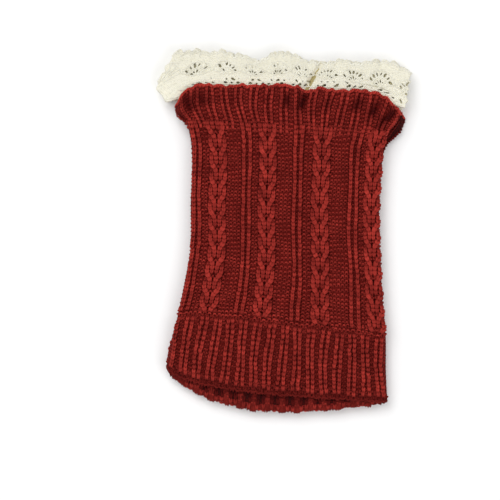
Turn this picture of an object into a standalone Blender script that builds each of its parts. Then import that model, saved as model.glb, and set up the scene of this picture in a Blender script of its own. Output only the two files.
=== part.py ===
"""A pair of knitted leg warmers with crochet lace at the top, one lying on the other.

Each warmer is a knitted tube, pressed flat, with a lace band sewn inside its top edge. X runs across
the leg, Y along it towards the lace, and Z is up from the surface that the pair lies on.
"""

from dataclasses import astuple, dataclass

import bpy
import bmesh
import numpy as np

MM = 0.001

# The middle of the whole pair, which stands over the origin, in millimetres
MIDDLE_X = 0.3
MIDDLE_Y = 1.25

# Knitting: stitches across the front, and courses from the hem up
WALES = 62
RIB_WALES = 4
TOP_RIB_SHIFT = 2
HEM_RIB_COURSES = 16
BODY_COURSES = 48
TOP_RIB_COURSES = 10
CABLE_COURSES = 4
EDGE_COURSE = HEM_RIB_COURSES + BODY_COURSES + TOP_RIB_COURSES

# How far across the front each rib's stitches start, and each stitch's width, as shares of its width
HEM_RIB_START = 0.003
HEM_RIB_PITCH = 0.0161
TOP_RIB_START = -0.031
TOP_RIB_PITCH = 0.0169
LEAST_PITCH = 0.0009

# Cloth, in millimetres
KNIT_WALL = 2.0
LACE_WALL = 0.9
SEAM_GAP = 0.35
RIB_RELIEF = 1.0
CABLE_LOW = 0.8
CABLE_HIGH = 1.9
PLAIN_RELIEF = 0.55

# Courses over which a rib and the body run into each other
BLEND_COURSES = 2.2

# The back of the upper tube bows lower than its front at the hem, in millimetres, for some courses
BACK_HEM_BOW = 11.5
BACK_HEM_COURSES = 9.0
BACK_BOW_SKEW = 0.8
HEM_DROOP_SKEW = 0.53

# Lace: how far it reaches down inside the tube, its rise over the rim before it spreads, and how
# far its front and back layers sink towards its top, in millimetres
LACE_TUCK_COURSES = 3.5
LACE_LIP = 0.6
LACE_FRONT_SINK = 0.9
LACE_BACK_SINK = 1.7
CREST_GROWTH = 1.5

# Rows of points to each cable crossing, and points across each face
ROWS_PER_CABLE = 3
BACK_RIBBED_POINTS = 30
BACK_PLAIN_POINTS = 15
BACK_SHARE = 0.985
INNER_POINTS = 30
LACE_POINTS = 40


@dataclass(frozen=True)
class Section:
    """One section across a flattened tube: its two side folds, in millimetres.

    droop lowers the section's left half, arch raises its middle, and flatness is how square the
    arch is.
    """

    course: float
    left_x: float
    left_y: float
    right_x: float
    right_y: float
    droop: float
    arch: float
    flatness: float


KNIT_SECTIONS = (
    Section(0.0, -79.0, -90.0, 70.0, -114.0, 8.2, 0.0, 9.0),
    Section(8.0, -75.5, -72.0, 69.0, -92.5, 3.5, 0.0, 9.0),
    Section(16.0, -71.0, -54.0, 69.0, -72.5, -2.2, 0.0, 9.0),
    Section(23.5, -67.0, -35.0, 67.0, -49.0, -1.5, 0.0, 9.0),
    Section(31.5, -63.0, -13.0, 65.5, -23.0, 0.0, 0.0, 9.0),
    Section(45.5, -62.5, 23.0, 64.5, 17.0, 0.0, 0.0, 9.0),
    Section(54.5, -61.5, 46.5, 66.0, 42.0, 0.0, 0.0, 9.0),
    Section(61.0, -63.0, 65.5, 67.5, 58.5, 0.0, 0.4, 9.0),
    Section(64.0, -64.5, 74.5, 70.0, 66.0, 0.0, 1.5, 9.0),
    Section(69.0, -69.5, 80.5, 75.5, 72.0, 0.0, 9.0, 9.0),
    Section(74.0, -72.8, 86.0, 80.5, 78.0, 0.0, 15.0, 9.0),
)

# The lower warmer lies just inside the upper one, but for its mouth, which shows at the right
LOWER_SECTIONS = (
    Section(0.0, -77.0, -89.0, 68.0, -112.0, 7.5, 0.0, 9.0),
    Section(16.0, -69.0, -54.0, 67.0, -72.5, -2.2, 0.0, 9.0),
    Section(31.5, -61.5, -13.0, 64.0, -23.0, 0.0, 0.0, 9.0),
    Section(45.5, -61.0, 23.0, 63.0, 17.0, 0.0, 0.0, 9.0),
    Section(58.0, -61.0, 56.5, 65.5, 51.0, 0.0, 0.4, 9.0),
    Section(62.0, -62.0, 68.0, 69.0, 60.0, 0.0, 1.0, 9.0),
    Section(66.0, -65.5, 76.5, 75.0, 65.0, 0.0, 4.0, 9.0),
    Section(70.0, -69.0, 81.5, 79.5, 70.5, 0.0, 9.5, 9.0),
    Section(74.0, -71.0, 85.0, 81.5, 77.0, 0.0, 14.5, 9.0),
)

# Lace, from the knitted edge to its scalloped top: course counts 1 per tenth of its height
LACE_SECTIONS = (
    Section(1.0, -81.0, 88.5, 82.0, 83.5, 0.0, 15.5, 7.0),
    Section(3.0, -85.4, 97.5, 83.4, 89.5, 0.0, 11.0, 4.0),
    Section(6.0, -81.0, 108.5, 84.6, 99.0, 0.0, 6.5, 3.0),
    Section(10.0, -73.2, 121.6, 86.0, 109.5, 0.0, 1.3, 2.0),
)
LACE_TENTHS = 10.0


@dataclass(frozen=True)
class Crest:
    """A place where the lace's top edge stands higher or lower, in millimetres."""

    x: float
    width: float
    rise: float


CRESTS = (
    Crest(-50.0, 18.0, 2.0),
    Crest(-16.0, 7.0, -2.6),
    Crest(0.0, 9.0, 5.0),
    Crest(22.0, 6.0, -1.0),
    Crest(45.0, 14.0, 1.6),
    Crest(68.0, 12.0, 4.3),
)


@dataclass(frozen=True)
class Levels:
    """Heights of a flattened tube's four faces above the surface, in millimetres."""

    under: float
    back: float
    front: float
    top: float


LOWER_BODY = Levels(0.0, 2.0, 2.5, 4.5)
LOWER_MOUTH = Levels(0.0, 2.0, 4.9, 6.9)
UPPER_BODY = Levels(5.95, 7.95, 8.45, 10.45)
UPPER_MOUTH = Levels(8.35, 10.35, 13.25, 15.25)
MOUTH_COURSES = (58.0, 72.0)


@dataclass(frozen=True)
class Fold:
    """A soft trough running along the leg in the gathered lace: place and width in millimetres."""

    x: float
    width: float
    depth: float


FOLDS = (
    Fold(-59.0, 8.0, 0.12),
    Fold(-15.0, 8.0, 0.17),
    Fold(19.0, 6.5, 0.30),
    Fold(67.0, 7.0, 0.14),
    Fold(-38.0, 9.0, -0.08),
    Fold(2.0, 7.0, -0.10),
    Fold(42.0, 10.0, -0.08),
)
FOLDS_START_Y = 80.0
FOLDS_FULL_Y = 116.0


@dataclass(frozen=True)
class Band:
    """A run of stitches across the body: what they are, how many, and how wide together."""

    kind: str
    wales: int
    width: float


# Left to right across the front, in millimetres
BODY_BANDS = (
    Band("purl", 2, 0.6),
    Band("rib", 2, 6.2),
    Band("purl", 2, 5.0),
    Band("cable", 6, 12.2),
    Band("purl", 6, 10.2),
    Band("rib", 2, 7.0),
    Band("purl", 2, 4.6),
    Band("cable", 6, 12.0),
    Band("purl", 6, 11.2),
    Band("rib", 2, 7.2),
    Band("purl", 2, 6.0),
    Band("cable", 6, 12.2),
    Band("purl", 6, 12.6),
    Band("rib", 2, 7.8),
    Band("purl", 2, 4.4),
    Band("cable", 6, 9.2),
    Band("purl", 2, 1.0),
)


def smooth_step(low, high, value):
    """Return a soft ramp from 0 at low to 1 at high."""
    ramp = np.clip((np.asarray(value, float) - low) / (high - low), 0.0, 1.0)
    return ramp * ramp * (3.0 - 2.0 * ramp)


def smooth_between(stations, values, at):
    """Return values at places between stations, on a smooth curve through them all."""
    stations = np.asarray(stations, float)
    values = np.asarray(values, float)
    slopes = np.gradient(values, stations)
    index = np.clip(np.searchsorted(stations, at, side="right") - 1, 0, len(stations) - 2)
    span = stations[index + 1] - stations[index]
    t = (at - stations[index]) / span
    start = (1 + 2 * t) * (1 - t) ** 2 * values[index] + t * (1 - t) ** 2 * span * slopes[index]
    end = t * t * (3 - 2 * t) * values[index + 1] - t * t * (1 - t) * span * slopes[index + 1]
    return start + end


def section_at(sections, course):
    """Return the named columns of a table of sections at one course, as a Section."""
    stations = [row.course for row in sections]
    names = ("left_x", "left_y", "right_x", "right_y", "droop", "arch", "flatness")
    columns = [[getattr(row, name) for row in sections] for name in names]
    return Section(course, *(float(smooth_between(stations, column, course)) for column in columns))


def section_points(section, share):
    """Return x and y at shares 0 to 1 from a section's left fold to its right one."""
    x = section.left_x + (section.right_x - section.left_x) * share
    y = section.left_y + (section.right_y - section.left_y) * share
    y = y - section.droop * np.sin(np.pi * np.power(share, HEM_DROOP_SKEW))
    y = y + section.arch * (1.0 - np.abs(2.0 * share - 1.0) ** section.flatness)
    return x, y


def levels_at(body, mouth, course):
    """Return a tube's levels at one course, opening from the body to the mouth."""
    opening = float(smooth_step(*MOUTH_COURSES, course))
    pairs = zip(astuple(body), astuple(mouth))
    return Levels(*(low + (high - low) * opening for low, high in pairs))


def fold_height(x, width, middle, reach):
    """Return heights over a section whose sides are half circles of radius reach about middle."""
    inward = np.clip(np.minimum(x, width - x) / abs(reach), 0.0, 1.0)
    return middle + reach * np.sqrt(1.0 - (1.0 - inward) ** 2)


def body_wale_shares():
    """Return each stitch's centre in the body, and what it is, as shares of the front's width."""
    total = sum(band.width for band in BODY_BANDS)
    shares = []
    kinds = []
    offsets = []
    start = 0.0
    for band in BODY_BANDS:
        for number in range(band.wales):
            place = (number + 0.5) / band.wales
            shares.append((start + band.width * place) / total)
            kinds.append(band.kind)
            offsets.append(abs(2.0 * place - 1.0))
        start += band.width
    return np.array(shares), kinds, np.array(offsets)


BODY_SHARES, BODY_KINDS, CABLE_OFFSETS = body_wale_shares()


def rib_shares(start, pitch):
    """Return the places of a rib's stitches as shares of the width, packed where they reach the fold."""
    wales = np.arange(WALES)
    return np.maximum(start + pitch * wales, LEAST_PITCH * (wales + 1))


def rib_mask(shift):
    """Return 1 for the knit stitches and 0 for the purl ones of a 2 by 2 rib."""
    return ((np.arange(WALES) + shift) % RIB_WALES < RIB_WALES / 2).astype(float)


def body_relief(course, plain):
    """Return the height of each stitch of the body over the purl ground at one course."""
    phase = ((course - HEM_RIB_COURSES) / CABLE_COURSES - CABLE_OFFSETS + CABLE_OFFSETS.min()) % 1.0
    chevron = CABLE_LOW + (CABLE_HIGH - CABLE_LOW) * np.sin(np.pi * phase)
    heights = []
    for kind, strand in zip(BODY_KINDS, chevron):
        if kind == "purl":
            heights.append(0.0)
        elif plain:
            heights.append(PLAIN_RELIEF)
        else:
            heights.append(RIB_RELIEF if kind == "rib" else strand)
    return np.array(heights)


def front_stitches(course, plain):
    """Return where each front stitch lies across the section, and its height over the ground."""
    body_start = HEM_RIB_COURSES
    body_end = HEM_RIB_COURSES + BODY_COURSES
    hem = float(1.0 - smooth_step(body_start - BLEND_COURSES, body_start + BLEND_COURSES, course))
    top = float(smooth_step(body_end - BLEND_COURSES, body_end + BLEND_COURSES, course))
    body = 1.0 - hem - top
    shares = hem * rib_shares(HEM_RIB_START, HEM_RIB_PITCH) + top * rib_shares(TOP_RIB_START, TOP_RIB_PITCH)
    relief = hem * rib_mask(0) + top * rib_mask(TOP_RIB_SHIFT)
    relief = relief * (PLAIN_RELIEF if plain else RIB_RELIEF)
    return shares + body * BODY_SHARES, relief + body * body_relief(course, plain)


def lifted(points):
    """Return points with the lace's folds pressed into the stack, none of them into the surface."""
    rise = smooth_step(FOLDS_START_Y, FOLDS_FULL_Y, points[:, 1])
    press = sum(fold.depth * np.exp(-(((points[:, 0] - fold.x) / fold.width) ** 2)) for fold in FOLDS)
    moved = points.copy()
    moved[:, 2] = points[:, 2] * (1.0 - press * rise)
    return moved


@dataclass(frozen=True)
class Warmer:
    """One warmer's own sizes: its sections, its levels, and how fine its front is."""

    name: str
    sections: tuple
    body: Levels
    mouth: Levels
    rows: tuple
    plain: bool
    hem_bow: float
    under_relief: float


class Skin:
    """Points and faces gathered for one closed mesh."""

    def __init__(self):
        """Start with no points and no faces."""
        self.points = []
        self.faces = []

    def row(self, x, y, z):
        """Add a row of points and return their numbers."""
        first = len(self.points)
        self.points.extend(zip(np.broadcast_to(x, z.shape), np.broadcast_to(y, z.shape), z))
        return list(range(first, len(self.points)))

    def grid(self, rows):
        """Join rows of equal length with quads."""
        for low, high in zip(rows, rows[1:]):
            for a, b, c, d in zip(low, low[1:], high[1:], high):
                self.faces.append((a, b, c, d))

    def sew(self, one, at_one, other, at_other):
        """Join two lines of points of any length with triangles, by how far along each point is."""
        i = 0
        j = 0
        while i < len(one) - 1 or j < len(other) - 1:
            if j == len(other) - 1 or (i < len(one) - 1 and at_one[i + 1] <= at_other[j + 1]):
                self.faces.append((one[i], one[i + 1], other[j]))
                i += 1
            else:
                self.faces.append((one[i], other[j + 1], other[j]))
                j += 1


def back_drop(course, share, bow):
    """Return how far the back wall hangs below the front near the hem."""
    near_hem = 1.0 - smooth_step(0.0, BACK_HEM_COURSES, course)
    return bow * near_hem * np.sin(np.pi * np.power(share, BACK_BOW_SKEW))


def side_lengths(section):
    """Return the width of a section across the leg."""
    return section.right_x - section.left_x


def outer_shape(warmer, course):
    """Return a tube's section at one course, with its middle height and half its thickness."""
    level = levels_at(warmer.body, warmer.mouth, course)
    middle = (level.under + level.top) / 2
    return section_at(warmer.sections, course), middle, (level.top - level.under) / 2


def front_row(skin, warmer, course):
    """Add one row of the ribbed and cabled front, and return its point numbers."""
    section, middle, reach = outer_shape(warmer, course)
    shares, relief = front_stitches(course, warmer.plain)
    x, y = section_points(section, np.concatenate([[0.0], shares, [1.0]]))
    z = fold_height(x - section.left_x, side_lengths(section), middle, reach)
    return skin.row(x, y, z + np.concatenate([[0.0], relief, [0.0]]))


def back_row(skin, warmer, course, shares):
    """Add one row of the back, with shallow ribs if it has them, and return its point numbers."""
    section, middle, reach = outer_shape(warmer, course)
    x, y = section_points(section, shares)
    y = y - back_drop(course, shares, warmer.hem_bow)
    z = fold_height(x - section.left_x, side_lengths(section), middle, -reach)
    return skin.row(x, y, z - warmer.under_relief * (np.arange(len(shares)) % 2))


def knit_solid(warmer):
    """Return the skin of a knitted tube: a ribbed and cabled outside over a plain inside."""
    skin = Skin()
    courses = back_courses(warmer.rows)
    points = BACK_RIBBED_POINTS if warmer.under_relief else BACK_PLAIN_POINTS
    back_shares = np.linspace(BACK_SHARE, 1.0 - BACK_SHARE, points)
    fronts = [front_row(skin, warmer, course) for course in warmer.rows]
    backs = [back_row(skin, warmer, course, back_shares) for course in courses]
    skin.grid(fronts)
    skin.grid(backs)
    skin.sew([row[-1] for row in fronts], warmer.rows, [row[0] for row in backs], courses)
    skin.sew([row[0] for row in fronts], warmer.rows, [row[-1] for row in backs], courses)
    inner_rings, inner_around = inner_tube(skin, warmer)
    for end in (0, -1):
        front_shares = front_stitches(warmer.rows[end], warmer.plain)[0]
        around = [0.0, *front_shares, 1.0, *(2.0 - back_shares), 2.0]
        outer = fronts[end] + backs[end]
        skin.sew(outer + outer[:1], around, inner_rings[end] + inner_rings[end][:1], inner_around)
    return skin


def back_courses(rows):
    """Return the courses of the back wall's rows, which are fewer than the front's."""
    return (rows[0], 3.0, 6.5, 11.0, 16.0, 24.0, 31.5, 45.5, 54.5, 61.0, 64.0, 67.0, 70.5, rows[-1])


def inner_tube(skin, warmer):
    """Add the plain inside of a knitted tube, and return its rings and how far round each point is."""
    shares = np.linspace(0.0, 1.0, INNER_POINTS)
    rings = []
    for course in back_courses(warmer.rows):
        section = section_at(warmer.sections, course)
        level = levels_at(warmer.body, warmer.mouth, course)
        width = side_lengths(section) - 2 * KNIT_WALL
        middle = (level.back + level.front) / 2
        reach = (level.front - level.back) / 2
        ring = []
        for part, side in ((shares, 1.0), (shares[-2:0:-1], -1.0)):
            _, y = section_points(section, part)
            if side < 0:
                y = y - back_drop(course, part, warmer.hem_bow)
            across = part * width
            z = fold_height(across, width, middle, side * reach)
            ring += skin.row(section.left_x + KNIT_WALL + across, y, z)
        rings.append(ring)
    skin.grid([ring + ring[:1] for ring in rings])
    return rings, [*shares, *(2.0 - shares[-2:0:-1]), 2.0]


def lace_solid(warmer):
    """Return the skin of a lace band: a gathered tube from inside the mouth to its scalloped top."""
    skin = Skin()
    edge = float(EDGE_COURSE)
    rows = [LaceRow(True, edge - LACE_TUCK_COURSES, 0.0), LaceRow(True, edge - LACE_TUCK_COURSES / 2, 0.0)]
    rows += [LaceRow(True, edge, 0.0), LaceRow(True, edge, LACE_LIP)]
    rows += [LaceRow(False, row.course, 0.0) for row in LACE_SECTIONS]
    outer_rings = [lace_ring(skin, warmer, row, 0.0) for row in rows]
    inner_rings = [lace_ring(skin, warmer, row, LACE_WALL) for row in rows]
    for rings in (outer_rings, inner_rings):
        skin.grid([ring + ring[:1] for ring in rings])
    for end in (0, -1):
        outer = outer_rings[end]
        inner = inner_rings[end]
        skin.grid([outer + outer[:1], inner + inner[:1]])
    return skin


@dataclass(frozen=True)
class LaceRow:
    """One ring of the lace: in the tube or above it, its course or tenth, and its rise past that."""

    tucked: bool
    course: float
    rise: float


def lace_ring(skin, warmer, row, depth):
    """Add one ring of the lace, depth inside its outer face, and return its point numbers."""
    shares = np.linspace(0.0, 1.0, LACE_POINTS)
    section = section_at(warmer.sections if row.tucked else LACE_SECTIONS, row.course)
    level = levels_at(warmer.body, warmer.mouth, row.course if row.tucked else EDGE_COURSE)
    top, under = lace_levels(level, 0.0 if row.tucked else row.course / LACE_TENTHS)
    inset = depth + (KNIT_WALL + SEAM_GAP if row.tucked else 0.0)
    whole = side_lengths(section)
    width = whole - 2 * inset
    middle = (top + under) / 2
    reach = (top - under) / 2 - depth
    growth = 0.0 if row.tucked else (row.course / LACE_TENTHS) ** CREST_GROWTH
    halves = []
    for part, side in ((shares, 1.0), (shares[-2:0:-1], -1.0)):
        across = part * width
        x = section.left_x + inset + across
        _, y = section_points(section, (inset + across) / whole)
        y = y + row.rise + growth * crest_rise(x)
        halves += skin.row(x, y, fold_height(across, width, middle, side * reach))
    return halves


def crest_rise(x):
    """Return how far the lace's top edge stands over its plain line."""
    return sum(crest.rise * np.exp(-(((x - crest.x) / crest.width) ** 2)) for crest in CRESTS)


def lace_levels(level, height):
    """Return the outer heights of the lace's front and back layers, settling towards its top."""
    settle = float(smooth_step(0.0, 1.0, height))
    top = level.front - SEAM_GAP - LACE_FRONT_SINK * settle
    under = level.back + SEAM_GAP - LACE_BACK_SINK * settle
    return top, under


def add_material(name, colour, roughness):
    """Return a matte cloth material of one colour."""
    material = bpy.data.materials.new(name)
    material.use_nodes = True
    shader = material.node_tree.nodes["Principled BSDF"]
    shader.inputs["Base Color"].default_value = (*colour, 1.0)
    shader.inputs["Roughness"].default_value = roughness
    shader.inputs["Metallic"].default_value = 0.0
    return material


def add_piece(name, skin, material, parent):
    """Add one closed mesh object from a skin, with its faces pointing out."""
    points = (lifted(np.array(skin.points)) - (MIDDLE_X, MIDDLE_Y, 0.0)) * MM
    mesh = bpy.data.meshes.new(name)
    mesh.from_pydata([tuple(point) for point in points], [], skin.faces)
    shape = bmesh.new()
    shape.from_mesh(mesh)
    bmesh.ops.triangulate(shape, faces=shape.faces)
    bmesh.ops.recalc_face_normals(shape, faces=shape.faces)
    shape.to_mesh(mesh)
    shape.free()
    mesh.shade_smooth()
    piece = bpy.data.objects.new(name, mesh)
    mesh.materials.append(material)
    piece.parent = parent
    bpy.context.scene.collection.objects.link(piece)
    return piece


def fine_rows():
    """Return the courses of a cabled front's rows: three to each cable stitch, few in the ribs."""
    steps = range(2, ROWS_PER_CABLE * BODY_COURSES // CABLE_COURSES - 1)
    body = [HEM_RIB_COURSES + CABLE_COURSES * step / ROWS_PER_CABLE for step in steps]
    hem = [0.0, 3.0, 6.5, 11.0, 14.5]
    top = [63.0, 65.5, 67.5, 70.5, 72.5, float(EDGE_COURSE)]
    return tuple(hem + body + top)


def plain_rows():
    """Return the courses of a plain front's rows."""
    return (0.0, 3.0, 8.0, 14.5, 17.5, 24.0, 31.5, 45.5, 54.5, 62.5, 65.5, 68.0, 71.0, float(EDGE_COURSE))


def clear_scene():
    """Remove every object in the scene."""
    for thing in list(bpy.data.objects):
        bpy.data.objects.remove(thing, do_unlink=True)


def main():
    """Build both warmers, the lower one first."""
    clear_scene()
    pair = bpy.data.objects.new("pair", None)
    bpy.context.scene.collection.objects.link(pair)
    knit = add_material("knit", (0.153, 0.012, 0.010), 0.9)
    lace = add_material("lace", (0.791, 0.753, 0.624), 0.85)
    warmers = (
        Warmer("lower", LOWER_SECTIONS, LOWER_BODY, LOWER_MOUTH, plain_rows(), True, 0.0, 0.0),
        Warmer("upper", KNIT_SECTIONS, UPPER_BODY, UPPER_MOUTH, fine_rows(), False, BACK_HEM_BOW, 0.4),
    )
    for warmer in warmers:
        add_piece(warmer.name + "_knit_tube", knit_solid(warmer), knit, pair)
        add_piece(warmer.name + "_lace_band", lace_solid(warmer), lace, pair)


main()
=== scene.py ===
"""Dress a pair of knitted leg warmers with real stitches and open crochet lace.

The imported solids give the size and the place. Each knitted tube is a thin shell on its solid's form,
with its yarn looped over it stitch by stitch, and each lace band is a thin cloth with eyelets.
X runs across the leg, Y along it towards the lace, and Z is up from the surface that the pair lies on.
"""

import logging
import math
from dataclasses import astuple, dataclass, field, replace
from enum import Enum

import bpy
import numpy as np
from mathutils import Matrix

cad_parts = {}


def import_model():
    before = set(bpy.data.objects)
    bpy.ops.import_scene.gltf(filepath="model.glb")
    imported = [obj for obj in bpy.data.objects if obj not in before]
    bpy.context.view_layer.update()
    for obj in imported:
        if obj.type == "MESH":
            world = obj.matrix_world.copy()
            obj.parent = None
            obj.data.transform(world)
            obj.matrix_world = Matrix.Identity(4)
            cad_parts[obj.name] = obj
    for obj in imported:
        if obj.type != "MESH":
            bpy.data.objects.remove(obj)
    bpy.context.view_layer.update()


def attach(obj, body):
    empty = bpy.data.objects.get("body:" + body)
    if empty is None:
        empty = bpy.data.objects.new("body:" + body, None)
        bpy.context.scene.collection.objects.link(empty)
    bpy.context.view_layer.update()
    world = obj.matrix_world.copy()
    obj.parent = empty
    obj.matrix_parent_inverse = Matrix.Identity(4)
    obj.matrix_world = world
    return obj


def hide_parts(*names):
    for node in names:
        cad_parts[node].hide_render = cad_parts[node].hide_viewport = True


LOG = logging.getLogger("leg_warmers")

MM = 0.001

# The middle of the pair in its pattern's own millimetres, which stands over the origin
MIDDLE = (0.3, 1.25, 0.0)

# Courses of knitting from the hem up
HEM_RIB_TOP = 15.0
BODY_TOP = 64.0
EDGE_COURSE = 74.0

# A tube opens from its body's levels to its mouth's over these courses
MOUTH_OPENS = (58.0, 72.0)
# Its back hangs lower over the first of these, and its rim waves above the last
HANGING_COURSES = 9.0
WAVING_COURSE = 66.0
# The lower tube shows beside the upper one's mouth from this course up
SIDE_COURSE = 56.0

# Columns of the 2 by 2 rib before it repeats, and their pitches as shares of the front
RIB_WALES = 4
HEM_PITCH = 0.0161
TOP_PITCH = 0.0169
# Chain stitches along one face's edge
CHAIN_STITCHES = 62.0

# Lighter and darker patches along a yarn, which takes its dye unevenly, in millimetres
MOTTLE_MM = 7.142857

# Cloth, in millimetres
KNIT_WALL = 2.0
SEAM_GAP = 0.35
TUCK_GAP = 0.15


def linear(hex_colour: str) -> tuple[float, float, float, float]:
    """Turn an sRGB hex colour into linear values.

    Args:
        hex_colour: Six hex digits, such as "6d1d19".

    Returns:
        Linear red, green and blue, and an alpha of 1.
    """
    parts = [int(hex_colour[i : i + 2], 16) / 255.0 for i in (0, 2, 4)]
    straight = [c / 12.92 if c <= 0.04045 else ((c + 0.055) / 1.055) ** 2.4 for c in parts]
    return (*straight, 1.0)


def smooth_step(low: float, high: float, value: np.ndarray) -> np.ndarray:
    """Return a soft ramp from 0 at low to 1 at high."""
    ramp = np.clip((np.asarray(value, float) - low) / (high - low), 0.0, 1.0)
    return ramp * ramp * (3.0 - 2.0 * ramp)


def bell(value: np.ndarray, middle: float, width: float) -> np.ndarray:
    """Return a soft bump of height 1 about middle."""
    return np.exp(-(((value - middle) / width) ** 2))


def smooth_between(stations: list[float], values: list[float], at: float) -> float:
    """Return a value on a smooth curve through all the stations.

    Args:
        stations: Rising places where the value is known.
        values: The value at each of them.
        at: The place that is asked for.

    Returns:
        The value there.
    """
    slopes = np.gradient(np.asarray(values, float), np.asarray(stations, float))
    index = int(np.clip(np.searchsorted(stations, at, side="right") - 1, 0, len(stations) - 2))
    span = stations[index + 1] - stations[index]
    t = (at - stations[index]) / span
    start = (1 + 2 * t) * (1 - t) ** 2 * values[index] + t * (1 - t) ** 2 * span * slopes[index]
    end = t * t * (3 - 2 * t) * values[index + 1] - t * t * (1 - t) * span * slopes[index + 1]
    return float(start + end)


def add_node(
    tree: bpy.types.NodeTree, kind: str, inputs: dict[str | int, object] | None = None, **settings: object
) -> bpy.types.Node:
    """Add a node with its settings, values and links.

    Args:
        tree: The node tree that gets it.
        kind: The node's type.
        inputs: A value or an output socket for each named or numbered input.
        settings: Values for the node's own properties.

    Returns:
        The new node.
    """
    node = tree.nodes.new(kind)
    for name, value in settings.items():
        setattr(node, name, value)
    for name, value in (inputs or {}).items():
        if isinstance(value, bpy.types.NodeSocket):
            tree.links.new(value, node.inputs[name])
        else:
            node.inputs[name].default_value = value
    return node


@dataclass(frozen=True)
class Finish:
    """A matte finish of loose fibres between two shades, deep and pale, as sRGB hex.

    fuzz_mm is how coarse the fibres are, sheen how much they catch the light and sheen_tint in what
    colour, and relief_mm how high its ridges stand.
    """

    name: str
    deep: str
    pale: str
    fuzz_mm: float
    roughness: float
    sheen: float
    sheen_tint: str
    relief_mm: float

    def blank(self, glow: float = 0.0) -> bpy.types.Material:
        """Return the material with its shader set, still without its shades and its relief.

        Args:
            glow: How much of the light goes into the thread and comes out beside where it went in.

        Returns:
            The material.
        """
        material = bpy.data.materials.new(self.name)
        material.use_nodes = True
        shader = material.node_tree.nodes["Principled BSDF"]
        shader.inputs["Roughness"].default_value = self.roughness
        shader.inputs["Specular IOR Level"].default_value = 0.15
        shader.inputs["Sheen Weight"].default_value = self.sheen
        shader.inputs["Sheen Roughness"].default_value = 0.45
        shader.inputs["Sheen Tint"].default_value = linear(self.sheen_tint)
        shader.inputs["Subsurface Weight"].default_value = glow
        shader.inputs["Subsurface Radius"].default_value = (1.0, 0.95, 0.8)
        shader.inputs["Subsurface Scale"].default_value = 1.5 * MM
        return material

    def coloured(
        self,
        material: bpy.types.Material,
        share: bpy.types.Node,
        height: bpy.types.Node,
        strength: float,
        **settings: object,
    ) -> bpy.types.Material:
        """Give a blank material its shades and its relief.

        Args:
            material: The material.
            share: The node that says where its colour lies, from 0 at the deep shade to 1 at the pale.
            height: The node that says how high its relief is, as a share of relief_mm.
            strength: How strongly the relief shades it.
            settings: Values for the properties of the mix between the shades.

        Returns:
            The same material.
        """
        tree = material.node_tree
        shader = tree.nodes["Principled BSDF"]
        shades = {0: share.outputs[0], 6: linear(self.deep), 7: linear(self.pale)}
        colour = add_node(tree, "ShaderNodeMix", shades, data_type="RGBA", **settings)
        relief = {"Height": height.outputs[0], "Strength": strength, "Distance": self.relief_mm * MM}
        bump = add_node(tree, "ShaderNodeBump", relief)
        tree.links.new(colour.outputs[2], shader.inputs["Base Color"])
        tree.links.new(bump.outputs["Normal"], shader.inputs["Normal"])
        return material


@dataclass(frozen=True)
class YarnFinish(Finish):
    """A spun yarn or thread, plied from strands that show as slanted ridges.

    twist_mm is the length in which its plies go once round, ply_relief how much they stand out
    beside the fibres, and ridge_highlight how much paler the tops of its ridges are painted, a
    painted highlight.
    """

    plies: float
    twist_mm: float
    ply_relief: float = 0.35
    ridge_highlight: float = 0.28

    def material(self) -> bpy.types.Material:
        """Return the yarn's material, which reads the attributes that the sweep leaves on it.

        Returns:
            The material.
        """
        material = self.blank()
        tree = material.node_tree
        place = add_node(tree, "ShaderNodeTexCoord").outputs["Object"]
        around, wound, shade = (
            add_node(tree, "ShaderNodeAttribute", attribute_name=name)
            for name in ("around", "wound", "shade")
        )
        sides = add_node(tree, "ShaderNodeSeparateXYZ", {0: around.outputs["Vector"]})
        turn = {0: sides.outputs["Y"], 1: sides.outputs["X"]}
        angle = add_node(tree, "ShaderNodeMath", turn, operation="ARCTAN2")
        turned = add_node(tree, "ShaderNodeMath", {0: angle.outputs[0], 1: self.plies}, operation="MULTIPLY")
        winding = {0: wound.outputs["Fac"], 1: 2.0 * math.pi / self.twist_mm, 2: turned.outputs[0]}
        lay = add_node(tree, "ShaderNodeMath", winding, operation="MULTIPLY_ADD")
        ply = add_node(tree, "ShaderNodeMath", {0: lay.outputs[0]}, operation="SINE")
        grain = {"Vector": place, "Scale": 1.0 / (self.fuzz_mm * MM), "Detail": 3.0}
        fibres = add_node(tree, "ShaderNodeTexNoise", grain)
        raised = {0: ply.outputs[0], 1: self.ply_relief, 2: fibres.outputs["Fac"]}
        height = add_node(tree, "ShaderNodeMath", raised, operation="MULTIPLY_ADD")
        patches = {"Vector": place, "Scale": 1.0 / (MOTTLE_MM * MM), "Detail": 2.0}
        mottle = add_node(tree, "ShaderNodeTexNoise", patches)
        mixing = {0: height.outputs[0], 1: self.ridge_highlight, 2: mottle.outputs["Fac"]}
        mixed = add_node(tree, "ShaderNodeMath", mixing, operation="MULTIPLY_ADD")
        shading = {0: mixed.outputs[0], 1: shade.outputs["Fac"]}
        lit = add_node(tree, "ShaderNodeMath", shading, operation="MULTIPLY")
        # The paths' painted shade: below 0 it is darker than the deep colour, a painted shadow in a valley
        # between loops
        return self.coloured(material, lit, height, 0.8, clamp_factor=False, clamp_result=True)


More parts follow.
